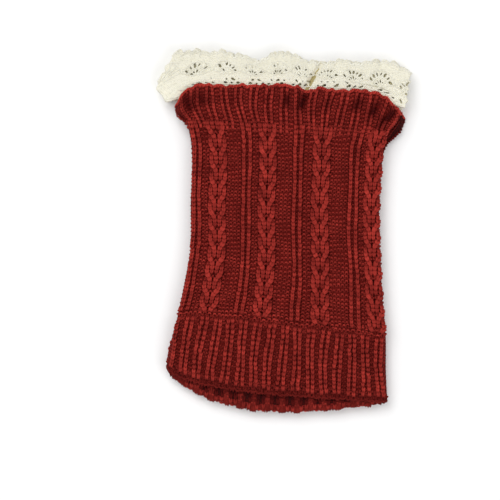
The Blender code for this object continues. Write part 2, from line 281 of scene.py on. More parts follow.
@dataclass(frozen=True)
class ClothFinish(Finish):
    """A looped cloth seen as rows of small V stitches, drawn from its own stitch map.

    slant is how steep the V is, loose how much of its relief is loose fibres, beside the stitches,
    glow how much light passes into it, and column_relief how deep the gaps between its columns are
    beside those between its rows. The relief also sets the colour: painted shade in the gaps and a
    painted highlight on the tops of the loops.
    """

    slant: float
    loose: float = 0.35
    glow: float = 0.0
    column_relief: float = 2.2

    def material(self) -> bpy.types.Material:
        """Return the cloth's material, whose stitches follow the map named stitches.

        Returns:
            The material.
        """
        material = self.blank(self.glow)
        tree = material.node_tree
        place = add_node(tree, "ShaderNodeTexCoord").outputs["Object"]
        chart = add_node(tree, "ShaderNodeUVMap", uv_map="stitches")
        axes = add_node(tree, "ShaderNodeSeparateXYZ", {0: chart.outputs["UV"]})
        leg = add_node(tree, "ShaderNodeMath", {0: axes.outputs["X"], 1: 0.5}, operation="PINGPONG")
        leaning = {0: leg.outputs[0], 1: -self.slant, 2: axes.outputs["Y"]}
        lean = add_node(tree, "ShaderNodeMath", leaning, operation="MULTIPLY_ADD")
        row = add_node(tree, "ShaderNodeMath", {0: lean.outputs[0], 1: 0.5}, operation="PINGPONG")
        column = add_node(tree, "ShaderNodeMath", {0: leg.outputs[0], 1: 0.25}, operation="PINGPONG")
        looping = {0: column.outputs[0], 1: self.column_relief, 2: row.outputs[0]}
        loop = add_node(tree, "ShaderNodeMath", looping, operation="MULTIPLY_ADD")
        grain = {"Vector": place, "Scale": 1.0 / (self.fuzz_mm * MM), "Detail": 3.0}
        fibres = add_node(tree, "ShaderNodeTexNoise", grain)
        raised = {0: fibres.outputs["Fac"], 1: self.loose, 2: loop.outputs[0]}
        height = add_node(tree, "ShaderNodeMath", raised, operation="MULTIPLY_ADD")
        # The relief's height also sets the colour, as painted shade and painted highlight
        return self.coloured(material, height, height, 0.9)


# Brushed acrylic: soft loose fibres give it a low red bloom and no shine
WOOL_YARN = YarnFinish(
    "plied_acrylic_knitting_yarn", "480301", "ac342b", 0.5, 0.9, 0.12, "a82420", 0.18, 3.0, 5.0
)
# The same yarn as a cloth, for the insides and undersides that are seen from far off
WOOL_CLOTH = ClothFinish("knitted_acrylic_cloth", "350805", "7c1a16", 0.5, 0.9, 0.12, "98302c", 0.6, 0.9)
# Painted shade: the cloth behind the loops, coloured darker red where little light gets in
WOOL_PAINTED_SHADE = ClothFinish(
    "shaded_acrylic_between_loops", "440805", "6e120d", 0.5, 0.95, 0.0, "401210", 0.3, 0.9
)
# Painted shadow: the same cloth coloured nearly black, far inside an open end
WOOL_PAINTED_SHADOW = ClothFinish("unlit_acrylic_inside", "1c0201", "350705", 0.5, 0.95, 0.0, "401210", 0.3, 0.9)
# Cotton crochet thread: tight and smooth, with a faint silky bloom
COTTON_THREAD = YarnFinish(
    "two_ply_cotton_crochet_thread", "c9c5b0", "efede0", 0.3, 0.8, 0.08, "fffaf0", 0.08, 2.0, 2.4
)
# The same thread worked close, for the solid ground between the eyelets
# Its fibres are drawn as coarse as two picture points, as their real size would be too fine
COTTON_CLOTH = ClothFinish(
    "close_cotton_crochet", "8f896e", "f2edd8", 1.1, 0.85, 0.08, "fffaf0", 0.4, 0.5, 1.3, 0.35
)
# Painted shade: the inside of the lace coloured olive, where little light gets in, as it is seen through the
# holes
COTTON_PAINTED_SHADE = ClothFinish(
    "shaded_cotton_inside", "bab28c", "e2d9b0", 0.35, 0.95, 0.0, "8c866a", 0.3, 0.5, 0.35, 0.5
)
# Painted shade: the same cotton coloured tan in the deepest part of the band's one deep fold
COTTON_PAINTED_FOLD_SHADE = ClothFinish(
    "shaded_cotton_in_a_fold", "84774a", "bdae7c", 0.5, 0.95, 0.0, "8c866a", 0.3, 0.5, 0.35, 0.2
)


@dataclass(frozen=True)
class KnitLooks:
    """A tube's materials: yarn, cloth, cloth under yarn in painted shade, and painted shadow where no light
    gets in.
    """

    yarn: bpy.types.Material
    cloth: bpy.types.Material
    depth: bpy.types.Material
    painted_shadow: bpy.types.Material


@dataclass(frozen=True)
class LaceLooks:
    """A lace band's materials: raised thread, ground, and painted shade on its inner face and in its deep
    fold.
    """

    thread: bpy.types.Material
    cloth: bpy.types.Material
    painted_inside: bpy.types.Material
    fold: bpy.types.Material


@dataclass(frozen=True)
class Section:
    """One section across a flattened tube: its two side folds, in millimetres.

    droop lowers the section's left half, arch raises its middle, and flatness is how square the
    arch is.
    """

    course: float
    left_x: float
    left_y: float
    right_x: float
    right_y: float
    droop: float
    arch: float
    flatness: float

    @staticmethod
    def between(sections: "tuple[Section, ...]", course: float) -> "Section":
        """Return the section at any course of a table, on smooth curves through its rows.

        Args:
            sections: The table's rows, by rising course.
            course: The course that is asked for.

        Returns:
            The section there.
        """
        stations = [row.course for row in sections]
        columns = list(zip(*(astuple(row)[1:] for row in sections)))
        return Section(course, *(smooth_between(stations, list(column), course) for column in columns))

    def points(self, share: np.ndarray) -> tuple[np.ndarray, np.ndarray]:
        """Return where the section runs.

        Args:
            share: Shares 0 to 1 from the left fold to the right one.

        Returns:
            X and y at each.
        """
        x = self.left_x + (self.right_x - self.left_x) * share
        y = self.left_y + (self.right_y - self.left_y) * share
        y = y - self.droop * np.sin(np.pi * np.power(share, 0.53))
        return x, y + self.arch * (1.0 - np.abs(2.0 * share - 1.0) ** self.flatness)


# The upper tube from its sloping hem to its knitted edge, as it lies
UPPER_SECTIONS = (
    Section(0.0, -79.0, -90.0, 70.0, -114.0, 8.2, 0.0, 9.0),
    Section(8.0, -75.5, -72.3, 69.0, -91.6, 3.5, 0.0, 9.0),
    Section(15.0, -71.6, -56.8, 69.0, -71.6, -2.2, 0.0, 9.0),
    Section(23.5, -67.0, -35.0, 67.0, -49.0, -1.5, 0.0, 9.0),
    Section(31.5, -63.0, -13.0, 65.5, -23.0, 0.0, 0.0, 9.0),
    Section(45.5, -62.5, 23.0, 64.5, 17.0, 0.0, 0.0, 9.0),
    Section(54.5, -61.5, 46.5, 66.0, 42.0, 0.0, 0.0, 9.0),
    Section(61.0, -63.0, 65.5, 67.5, 58.5, 0.0, 0.4, 9.0),
    Section(64.0, -65.2, 73.5, 70.0, 66.0, 0.0, 1.5, 9.0),
    Section(69.0, -70.8, 79.0, 74.2, 72.0, 0.0, 9.0, 10.0),
    Section(74.0, -72.6, 84.6, 78.7, 79.2, 0.0, 16.0, 12.0),
)

# The lower tube, straight behind the upper one and a little narrower, but for its mouth's right side
LOWER_SECTIONS = (
    Section(0.0, -77.0, -89.0, 68.0, -112.0, 7.5, 0.0, 9.0),
    Section(16.0, -69.0, -54.0, 67.0, -72.5, -2.2, 0.0, 9.0),
    Section(31.5, -61.5, -13.0, 64.0, -23.0, 0.0, 0.0, 9.0),
    Section(45.5, -61.0, 23.0, 63.0, 17.0, 0.0, 0.0, 9.0),
    Section(58.0, -61.0, 56.5, 65.5, 51.0, 0.0, 0.4, 9.0),
    Section(62.0, -62.0, 68.0, 69.0, 60.0, 0.0, 1.0, 9.0),
    Section(66.0, -65.5, 76.5, 75.0, 65.0, 0.0, 4.0, 9.0),
    Section(70.0, -69.0, 81.5, 79.5, 70.5, 0.0, 9.5, 9.0),
    Section(74.0, -71.0, 85.0, 81.5, 77.0, 0.0, 14.5, 9.0),
)

# Lace from the knitted edge to its scalloped top: a course here is a tenth of its height
LACE_SECTIONS = (
    Section(1.0, -79.5, 87.2, 82.0, 83.5, 0.0, 16.5, 8.0),
    Section(3.0, -85.4, 97.5, 83.4, 89.5, 0.0, 11.0, 4.0),
    Section(6.0, -81.0, 108.5, 84.6, 99.0, 0.0, 6.5, 3.0),
    Section(10.0, -73.2, 121.6, 86.0, 109.5, 0.0, 1.3, 2.0),
)


@dataclass(frozen=True)
class Swell:
    """A soft rise or hollow at one place across the leg, in millimetres."""

    x: float
    width: float
    size: float


# Where the lace's top edge stands higher or lower
CRESTS = (
    Swell(-50.0, 18.0, 2.0),
    Swell(-16.0, 7.0, -2.6),
    Swell(0.0, 9.0, 5.0),
    Swell(22.0, 6.0, -1.0),
    Swell(45.0, 14.0, 1.6),
    Swell(68.0, 12.0, 4.3),
)

# Shares of its own height by which the whole mouth sinks or rises at a fold
MOUTH_FOLDS = (
    Swell(-59.0, 8.0, 0.12),
    Swell(-15.0, 8.0, 0.17),
    Swell(19.0, 6.5, 0.30),
    Swell(67.0, 7.0, 0.14),
    Swell(-38.0, 9.0, -0.08),
    Swell(2.0, 7.0, -0.10),
    Swell(42.0, 10.0, -0.08),
)

# Where the knitted edge stands higher or lower
RIM_WAVES = (
    Swell(-40.0, 8.0, -1.3),
    Swell(-1.0, 9.0, 1.0),
    Swell(16.0, 5.0, -2.4),
    Swell(38.0, 9.0, -1.6),
    Swell(56.0, 7.0, -0.9),
    Swell(66.5, 5.0, -1.7),
    Swell(73.5, 4.0, -1.9),
)


@dataclass(frozen=True)
class Dip:
    """A valley along a short line across the front wall, in millimetres.

    dimming is how much painted shade darkens the knitting in it.
    """

    start: tuple[float, float]
    end: tuple[float, float]
    width: float
    depth: float
    dimming: float = 0.5

    def at(self, x: np.ndarray, y: np.ndarray) -> np.ndarray:
        """Return how far into the valley each place is.

        Args:
            x: Places across the leg.
            y: Places along it.

        Returns:
            0 outside the valley to 1 on its line, for each.
        """
        along = np.subtract(self.end, self.start)
        part = ((x - self.start[0]) * along[0] + (y - self.start[1]) * along[1]) / np.dot(along, along)
        part = np.clip(part, 0.0, 1.0)
        far = np.hypot(x - self.start[0] - part * along[0], y - self.start[1] - part * along[1])
        return bell(far, 0.0, self.width)


# Valleys that the gathered rib makes below the knitted edge, in its front wall alone, with painted shade on
# the knitting in them
RIM_DIPS = (
    Dip((-65.5, 89.0), (-63.5, 84.5), 3.4, 1.2, 0.95),
    Dip((-55.5, 91.5), (-54.5, 88.5), 3.4, 1.2, 0.85),
    Dip((-34.0, 92.5), (-34.5, 87.0), 2.2, 0.9, 0.4),
    Dip((-12.0, 91.0), (-11.0, 87.0), 2.2, 0.9, 0.4),
    Dip((2.5, 91.5), (2.0, 87.5), 3.0, 1.2, 0.85),
    Dip((14.0, 91.0), (12.0, 85.5), 3.4, 1.3, 1.0),
    Dip((31.0, 89.5), (29.0, 85.5), 2.4, 1.1, 0.6),
    Dip((50.5, 88.0), (48.5, 84.5), 3.0, 1.2, 0.9),
    Dip((63.0, 85.5), (59.5, 80.5), 3.0, 1.2, 0.95),
    Dip((73.0, 81.0), (70.5, 77.5), 3.0, 1.2, 0.95),
    Dip((67.0, 76.0), (64.0, 71.5), 2.4, 1.2, 0.7),
)

# The turned side of the mouth at its left corner, a shallow valley with painted shade on its knitting
SIDE_DIPS = (Dip((-71.5, 82.5), (-65.5, 73.0), 1.3, 0.5, 0.55),)


@dataclass(frozen=True)
class Levels:
    """Heights of a flattened tube's four faces above the surface, in millimetres."""

    under: float
    back: float
    front: float
    top: float

    def opened(self, mouth: "Levels", course: float) -> "Levels":
        """Return the levels at one course, opening from the body to the mouth."""
        opening = float(smooth_step(*MOUTH_OPENS, course))
        return Levels(*(low + (high - low) * opening for low, high in zip(astuple(self), astuple(mouth))))


def mouth_pressed(points: np.ndarray) -> np.ndarray:
    """Press the mouth's folds into the stack.

    Args:
        points: Points in millimetres.

    Returns:
        The points after it.
    """
    rise = smooth_step(80.0, 116.0, points[..., 1])
    press = sum(fold.size * bell(points[..., 0], fold.x, fold.width) for fold in MOUTH_FOLDS)
    moved = points.copy()
    moved[..., 2] = points[..., 2] * (1.0 - press * rise)
    return moved


class Wrap:
    """A surface that goes once round the leg, looked up by share round and by row.

    Shares 0 to 1 are the front, from the left fold to the right one, and 1 to 2 the back.
    """

    def __init__(self, shares: np.ndarray, rows: np.ndarray, points: np.ndarray) -> None:
        """Keep a table of points in millimetres, with the direction that faces out at each.

        Args:
            shares: Rising shares from 0 to 2, whose last column repeats the first.
            rows: Rising rows.
            points: One point for each row and share.
        """
        self.shares = shares
        self.rows = rows
        self.points = points
        ring = points[:, :-1]
        across = np.roll(ring, -1, axis=1) - np.roll(ring, 1, axis=1)
        along = np.gradient(ring, axis=0)
        out = np.cross(across, along)
        out /= np.linalg.norm(out, axis=-1, keepdims=True)
        self.out = np.concatenate([out, out[:, :1]], axis=1)

    @staticmethod
    def round_shares() -> np.ndarray:
        """Return shares that are closest together at the two side folds.

        Returns:
            Rising shares from 0 to 2.
        """
        fold = 0.02 * (1.0 - np.cos(np.linspace(0.0, math.pi / 2.0, 12)))
        half = np.concatenate([fold[:-1], np.linspace(0.02, 0.98, 420), 1.0 - fold[-2::-1]])
        return np.concatenate([half[:-1], 1.0 + half])

    def at(self, share: np.ndarray, row: np.ndarray, lift: np.ndarray | float) -> np.ndarray:
        """Return points over the surface.

        Args:
            share: Share round the leg, of any size.
            row: Row along it.
            lift: Height over the surface in millimetres.

        Returns:
            One point for each, in millimetres.
        """
        i, j = np.broadcast_arrays(
            np.interp(row, self.rows, np.arange(len(self.rows))),
            np.interp(np.mod(share, 2.0), self.shares, np.arange(len(self.shares))),
        )
        low_i = np.minimum(i.astype(int), len(self.rows) - 2)
        low_j = np.minimum(j.astype(int), len(self.shares) - 2)
        part_i = (i - low_i)[..., None]
        part_j = (j - low_j)[..., None]
        found = []
        for table in (self.points, self.out):
            low = table[low_i, low_j] * (1 - part_j) + table[low_i, low_j + 1] * part_j
            high = table[low_i + 1, low_j] * (1 - part_j) + table[low_i + 1, low_j + 1] * part_j
            found.append(low * (1 - part_i) + high * part_i)
        return found[0] + found[1] * np.broadcast_to(lift, i.shape)[..., None]


def fold_height(x: np.ndarray, width: float, reach: float) -> np.ndarray:
    """Return heights over the middle of a section whose sides are half circles of radius reach."""
    inward = np.clip(np.minimum(x, width - x) / reach, 0.0, 1.0)
    return reach * np.sqrt(1.0 - (1.0 - inward) ** 2)


@dataclass(frozen=True)
class TubeForm:
    """The form of one knitted tube as it lies.

    hem_bow is how far its back hangs below its front at the hem, in millimetres. A tube with dips is
    the one that is seen, so its rim waves too.
    """

    sections: tuple[Section, ...]
    body: Levels
    mouth: Levels
    hem_bow: float
    dips: tuple[Dip, ...]

    def wrap(self) -> Wrap:
        """Return the tube's outer surface.

        Returns:
            The surface, on rows in courses.
        """
        shares = Wrap.round_shares()
        rows = np.arange(-1.0, EDGE_COURSE + 1.01, 0.25)
        return Wrap(shares, rows, mouth_pressed(np.array([self.ring(shares, course) for course in rows])))

    def ring(self, shares: np.ndarray, course: float) -> np.ndarray:
        """Return one ring round the outside.

        Args:
            shares: Shares round the leg.
            course: Its course.

        Returns:
            One point for each share.
        """
        section = Section.between(self.sections, course)
        level = self.body.opened(self.mouth, course)
        part = np.where(shares <= 1.0, shares, 2.0 - shares)
        back = shares > 1.0
        x, y = section.points(part)
        near_hem = 1.0 - smooth_step(0.0, HANGING_COURSES, course)
        y = y - back * self.hem_bow * near_hem * np.sin(np.pi * np.power(part, 0.8))
        width = section.right_x - section.left_x
        middle = (level.under + level.top) / 2.0
        reach = (level.top - level.under) / 2.0
        z = fold_height(part * width, width, reach)
        sink = sum(dip.depth * dip.at(x, y) for dip in self.dips)
        z = np.where(back, middle - z, middle + z - sink)
        if self.dips:
            near_rim = smooth_step(WAVING_COURSE, EDGE_COURSE, course)
            wave = sum(swell.size * bell(x, swell.x, swell.width) for swell in RIM_WAVES)
            y = y + near_rim * (wave + 0.3 * np.sin(0.83 * x) + 0.25 * np.sin(1.37 * x + 1.0))
        return np.stack([x, y, z], axis=-1)


@dataclass(frozen=True)
class LaceForm:
    """The form of one lace band, from inside a tube's mouth to its scalloped top.

    ripple and crease are how deep its small waves and its one deep fold are, in millimetres. The
    fold starts at crease_foot and leans by crease_lean, and front_settle and back_settle are how far
    the two walls have sunk together at the top.
    """

    tube: TubeForm
    ripple: float
    crease: float
    motifs: int = 18
    scallops: int = 3
    scallop_rise: float = 2.3
    crease_foot: tuple[float, float] = (14.5, 96.0)
    crease_lean: float = 0.58
    front_settle: float = 1.4
    back_settle: float = 1.2

    def wrap(self) -> Wrap:
        """Return the band's outer surface.

        Returns:
            The surface, on rows in tenths of its height above the knitted edge.
        """
        shares = Wrap.round_shares()
        below = [(-3.5, 0.0), (-1.75, 0.0), (0.0, 0.0), (0.3, 0.6)]
        rows = [row for row, _ in below] + list(np.arange(1.0, 10.01, 0.25))
        rings = [self.tucked(shares, EDGE_COURSE + min(row, 0.0), rise) for row, rise in below]
        rings += [self.standing(shares, tenth) for tenth in rows[len(below) :]]
        return Wrap(shares, np.array(rows), mouth_pressed(np.array(rings)))

    def crease_line(self, y: np.ndarray) -> np.ndarray:
        """Return where the band's one deep fold runs."""
        return self.crease_foot[0] + self.crease_lean * (y - self.crease_foot[1])

    def tucked(self, shares: np.ndarray, course: float, rise: float) -> np.ndarray:
        """Return a ring inside the tube's mouth, or just over its rim.

        Args:
            shares: Shares round the leg.
            course: The tube's course beside it.
            rise: How far over the rim it is, in millimetres.

        Returns:
            One point for each share.
        """
        section = Section.between(self.tube.sections, course)
        level = self.tube.body.opened(self.tube.mouth, course)
        points = self.ring(shares, section, level, 0.0, KNIT_WALL + SEAM_GAP) + (0.0, rise, 0.0)
        sink = sum(dip.depth * dip.at(points[:, 0], points[:, 1]) for dip in self.tube.dips)
        points[:, 2] -= sink * (shares < 1.0)
        return points

    def standing(self, shares: np.ndarray, tenth: float) -> np.ndarray:
        """Return a ring above the rim, with its crests, scallops and ripples.

        Args:
            shares: Shares round the leg.
            tenth: Its row, in tenths of the band's height.

        Returns:
            One point for each share.
        """
        level = self.tube.body.opened(self.tube.mouth, EDGE_COURSE)
        points = self.ring(shares, Section.between(LACE_SECTIONS, tenth), level, tenth / 10.0, 0.0)
        growth = (tenth / 10.0) ** 1.5
        x = points[:, 0]
        scallop = np.abs(np.sin(np.pi * self.scallops * shares * self.motifs / 2.0))
        points[:, 1] += growth * sum(crest.size * bell(x, crest.x, crest.width) for crest in CRESTS)
        # No two scallops are quite alike
        worked = 1.0 + 0.3 * np.sin(shares * 29.0 + 1.0) + 0.25 * np.sin(shares * 73.0)
        points[:, 1] += self.scallop_rise * worked * (scallop - 0.6) * (tenth / 10.0) ** 5
        points[:, 1] += 0.6 * growth * (np.sin(shares * 37.0) + np.sin(shares * 59.0 + 2.0))
        part = np.where(shares <= 1.0, shares, 2.0 - shares)
        wave = np.sin(part * 41.0) + 0.6 * np.sin(part * 67.0 + 1.3) + 0.5 * np.sin(part * 103.0)
        points[:, 2] += self.ripple * growth * wave
        # The deep fold is steep on its left, where it also has a raised lip
        crease_x = self.crease_line(points[:, 1])
        steep = np.where(x < crease_x, 1.5, 3.5)
        valley = np.exp(-np.abs((x - crease_x) / steep) ** 1.5)
        lip = 0.6 * bell(x, crease_x - 4.0, 3.0) * (shares < 1.0)
        points[:, 2] += self.crease * (lip - valley * np.where(shares < 1.0, 1.0, 0.85))
        # The band's two ends are wavy too
        edge = bell(part, 0.0, 0.05) - bell(part, 1.0, 0.05)
        points[:, 0] -= 0.8 * self.ripple * edge * (np.sin(2.9 * tenth) + 0.7 * np.sin(4.7 * tenth + 1.0))
        return points

    def ring(
        self, shares: np.ndarray, section: Section, level: Levels, settled: float, inset: float
    ) -> np.ndarray:
        """Return one plain ring.

        Args:
            shares: Shares round the leg.
            section: The section that it follows.
            level: The tube's levels there.
            settled: How far the band has sunk, from 0 at the rim to 1 at its top.
            inset: How far inside the section its folds lie.

        Returns:
            One point for each share.
        """
        # Above the rim its two walls settle towards each other
        settle = float(smooth_step(0.0, 1.0, settled))
        top = level.front - TUCK_GAP - self.front_settle * settle
        under = level.back + TUCK_GAP - self.back_settle * settle
        whole = section.right_x - section.left_x
        width = whole - 2.0 * inset
        part = np.where(shares <= 1.0, shares, 2.0 - shares)
        across = part * width
        if not inset:
            rim = self.tube.sections[-1]
            upright = rim.left_x + (rim.right_x - rim.left_x) * part - section.left_x
            across = upright + (across - upright) * np.abs(2.0 * part - 1.0) ** 3
        _, y = section.points((inset + across) / whole)
        z = fold_height(across, width, (top - under) / 2.0)
        z = (top + under) / 2.0 + np.where(shares > 1.0, -z, z)
        return np.stack([section.left_x + inset + across, y, z], axis=-1)


def finished_object(name: str, mesh: bpy.types.Mesh, material: bpy.types.Material) -> bpy.types.Object:
    """Put a mesh in the scene as a smooth piece of one material.

    Args:
        name: The piece's name.
        mesh: Its mesh.
        material: What it is made of.

    Returns:
        The piece.
    """
    mesh.materials.clear()
    mesh.materials.append(material)
    mesh.shade_smooth()
    piece = bpy.data.objects.new(name, mesh)
    bpy.context.scene.collection.objects.link(piece)
    return piece


def in_metres(points: np.ndarray) -> np.ndarray:
    """Turn pattern millimetres into metres about the origin."""
    return (points.reshape(-1, 3) - MIDDLE) * MM


def shell_object(
    name: str,
    outer: np.ndarray,
    inner: np.ndarray,
    chart: np.ndarray,
    kept: np.ndarray,
    material: bpy.types.Material,
    patches: list[tuple[bpy.types.Material, np.ndarray, int]],
) -> bpy.types.Object:
    """Build a closed thin cloth from the grids of its two faces.

    Args:
        name: The piece's name.
        outer: Outer points by row and by place round the leg, in millimetres, open at the seam.
        inner: Inner points in the same order.
        chart: The stitch map's two numbers by row and place, with one more place than the points.
        kept: Which cells have cloth, by row and by place.
        material: What it is made of.
        patches: What some cells look like instead, which they are, and 0 for the outer face or 1
            for the inner one.

    Returns:
        The piece.
    """
    rows, around = outer.shape[:2]
    number = np.arange(rows * around).reshape(rows, around)
    right = np.roll(number, -1, axis=1)
    corners = np.stack([number[:-1], right[:-1], right[1:], number[1:]], axis=-1)
    flat = np.arange(rows * (around + 1)).reshape(rows, around + 1)
    uv_corners = np.stack([flat[:-1, :-1], flat[:-1, 1:], flat[1:, 1:], flat[1:, :-1]], axis=-1)
    face = corners[kept]
    uv_face = uv_corners[kept]
    far = rows * around
    sides = []
    uv_sides = []
    # Each edge of a cell: its two corners, and how many cells up and across its neighbour is
    shifts = ((0, 1, -1, 0), (1, 2, 0, 1), (2, 3, 1, 0), (3, 0, 0, -1))
    for one, other, up, across in shifts:
        beside = np.roll(kept, -across, axis=1)
        if up:
            beside = np.roll(kept, -up, axis=0)
            beside[-1 if up > 0 else 0] = False
        edge = kept & ~beside
        a, b = corners[edge][:, one], corners[edge][:, other]
        sides.append(np.stack([b, a, a + far, b + far], axis=-1))
        u, v = uv_corners[edge][:, one], uv_corners[edge][:, other]
        uv_sides.append(np.stack([v, u, u, v], axis=-1))
    faces = np.concatenate([face, face[:, ::-1] + far, *sides])
    uv_faces = np.concatenate([uv_face, uv_face[:, ::-1], *uv_sides])
    points = in_metres(np.concatenate([outer.reshape(-1, 3), inner.reshape(-1, 3)]))
    used, faces = np.unique(faces, return_inverse=True)
    faces = faces.reshape(-1, 4)
    mesh = bpy.data.meshes.new(name)
    mesh.from_pydata(points[used].tolist(), [], faces.tolist())
    layer = mesh.uv_layers.new(name="stitches")
    layer.data.foreach_set("uv", chart.reshape(-1, 2)[uv_faces.ravel()].astype(np.float32).ravel())
    piece = finished_object(name, mesh, material)
    slots = np.zeros(len(faces), np.int32)
    for slot, (look, cells, side) in enumerate(patches, 1):
        mesh.materials.append(look)
        side_slots = slots[side * len(face) : (side + 1) * len(face)]
        side_slots[cells[kept]] = slot
    mesh.polygons.foreach_set("material_index", slots)
    return piece


@dataclass
class Strands:
    """Paths of yarn that are gathered for one piece, in millimetres, and the valleys whose painted shade
    darkens them.
    """

    dips: tuple[Dip, ...] = ()
    points: list[np.ndarray] = field(default_factory=list)
    radii: list[np.ndarray] = field(default_factory=list)
    shades: list[np.ndarray] = field(default_factory=list)

    def add(self, points: np.ndarray, radius: np.ndarray | float, shade: np.ndarray | float) -> None:
        """Add one path with its radius and its painted light and shade, lifted clear of the surface.

        Args:
            points: The path.
            radius: The yarn's radius along it.
            shade: Its painted light and shade, with a random tone on some paths, where 0 is the yarn's deep
                colour and less is painted darker than that.
        """
        # Painted shade from the valleys that the path crosses
        dark = sum(dip.dimming * dip.at(points[:, 0], points[:, 1]) for dip in self.dips)
        radii = np.broadcast_to(radius, len(points))
        clear = np.stack([points[:, 0], points[:, 1], np.maximum(points[:, 2], radii)], axis=-1)
        self.points.append(clear)
        self.radii.append(radii)
        self.shades.append(np.broadcast_to(shade, len(points)) * np.clip(1.0 - 1.15 * dark, -0.14, 1.0))

    def mesh(self, name: str) -> bpy.types.Mesh:
        """Return the paths as a mesh of edges, with what the sweep reads on its points.

        Args:
            name: The piece's name.

        Returns:
            The mesh.
        """
        sizes = [len(path) for path in self.points]
        starts = np.cumsum([0, *sizes])
        edges = np.concatenate([np.arange(low, low + size - 1) for low, size in zip(starts, sizes)])
        points = np.concatenate(self.points)
        steps = [np.linalg.norm(np.diff(path, axis=0), axis=1) for path in self.points]
        wound = np.concatenate([np.concatenate([[0.0], np.cumsum(step)]) for step in steps])
        mesh = bpy.data.meshes.new(name + "_paths")
        mesh.from_pydata(in_metres(points).tolist(), np.stack([edges, edges + 1], axis=-1).tolist(), [])
        radii = np.concatenate(self.radii) * MM
        numbers = {"yarn_radius": radii, "wound": wound, "shade": np.concatenate(self.shades)}
        for key, values in numbers.items():
            attribute = mesh.attributes.new(key, "FLOAT", "POINT")
            attribute.data.foreach_set("value", values.astype(np.float32))
        return mesh


class YarnSweep:
    """Geometry Nodes that turn paths into round yarn."""

    def __init__(self) -> None:
        """Build the node tree, with its number of sides and its material as named inputs."""
        tree = bpy.data.node_groups.new("yarn_sweep", "GeometryNodeTree")
        face = tree.interface
        face.new_socket("Paths", in_out="INPUT", socket_type="NodeSocketGeometry")
        self.sides = face.new_socket("Sides", in_out="INPUT", socket_type="NodeSocketInt").identifier
        self.yarn = face.new_socket("Yarn", in_out="INPUT", socket_type="NodeSocketMaterial").identifier
        face.new_socket("Loops", in_out="OUTPUT", socket_type="NodeSocketGeometry")
        given = add_node(tree, "NodeGroupInput")
        named = {"Name": "yarn_radius"}
        radius = add_node(tree, "GeometryNodeInputNamedAttribute", named, data_type="FLOAT")
        curve = add_node(tree, "GeometryNodeMeshToCurve", {0: given.outputs["Paths"]})
        path = {"Curve": curve.outputs[0], "Radius": radius.outputs["Attribute"]}
        thick = add_node(tree, "GeometryNodeSetCurveRadius", path)
        circle = {"Resolution": given.outputs["Sides"], "Radius": 1.0}
        ring = add_node(tree, "GeometryNodeCurvePrimitiveCircle", circle)
        # The section keeps its own places, which turn into the angle round the yarn
        spot = add_node(tree, "GeometryNodeInputPosition")
        mark = {"Geometry": ring.outputs["Curve"], "Name": "around", "Value": spot.outputs[0]}
        marked = add_node(tree, "GeometryNodeStoreNamedAttribute", mark, data_type="FLOAT_VECTOR")
        both = {"Curve": thick.outputs[0], "Profile Curve": marked.outputs[0], "Fill Caps": True}
        swept = add_node(tree, "GeometryNodeCurveToMesh", both)
        if "Scale" in swept.inputs:
            tree.links.new(radius.outputs["Attribute"], swept.inputs["Scale"])
        real = add_node(tree, "GeometryNodeRealizeInstances", {0: swept.outputs[0]})
        yarn = {"Geometry": real.outputs[0], "Material": given.outputs["Yarn"]}
        dressed = add_node(tree, "GeometryNodeSetMaterial", yarn)
        add_node(tree, "NodeGroupOutput", {0: dressed.outputs[0]})
        self.tree = tree

    def piece(
        self, name: str, strands: Strands, sides: int, material: bpy.types.Material
    ) -> bpy.types.Object:
        """Sweep paths into one plain mesh.

        Args:
            name: The piece's name.
            strands: Its paths.
            sides: How many sides the yarn's section has.
            material: What the yarn is.

        Returns:
            The piece, with no modifier left on it.
        """
        piece = bpy.data.objects.new(name, strands.mesh(name))
        bpy.context.scene.collection.objects.link(piece)
        modifier = piece.modifiers.new("sweep", "NODES")
        modifier.node_group = self.tree
        modifier[self.sides] = sides
        modifier[self.yarn] = material
        evaluated = piece.evaluated_get(bpy.context.evaluated_depsgraph_get())
        swept = bpy.data.meshes.new_from_object(evaluated)
        bpy.data.objects.remove(piece)
        swept.name = name
        return finished_object(name, swept, material)


class Stitch(Enum):
    """What a stitch shows on the outside of the cloth."""

    KNIT = 1.0
    PURL = -1.0
    FLOAT = 0.0


@dataclass(frozen=True)
class Wale:
    """One column of stitches: its middle and width as shares, its stitch, lift, radius and painted shade."""

    share: float
    width: float
    stitch: Stitch
    lift: float
    radius: float
    shade: float


@dataclass(frozen=True)
class Loop:
    """The path of one stitch of yarn, in widths, courses and millimetres.

    pinch draws a knit stitch's legs together, lean lifts a purl stitch's head over its feet, and
    dimming is how much painted shade darkens the yarn where it dives between its neighbours.
    """

    neck: float = 0.17
    pinch: float = 0.1
    reach: float = 0.62
    purl_reach: float = 0.8
    depth: float = 1.3
    purl_depth: float = 0.8
    lean: float = 0.6
    swell: float = 0.28
    dimming: float = 0.78
    samples: int = 10

    def turns(self) -> np.ndarray:
        """Return angles round one stitch, from the foot of the loop over its head to its next foot."""
        return 2.0 * math.pi * (np.arange(self.samples) + 0.5) / self.samples


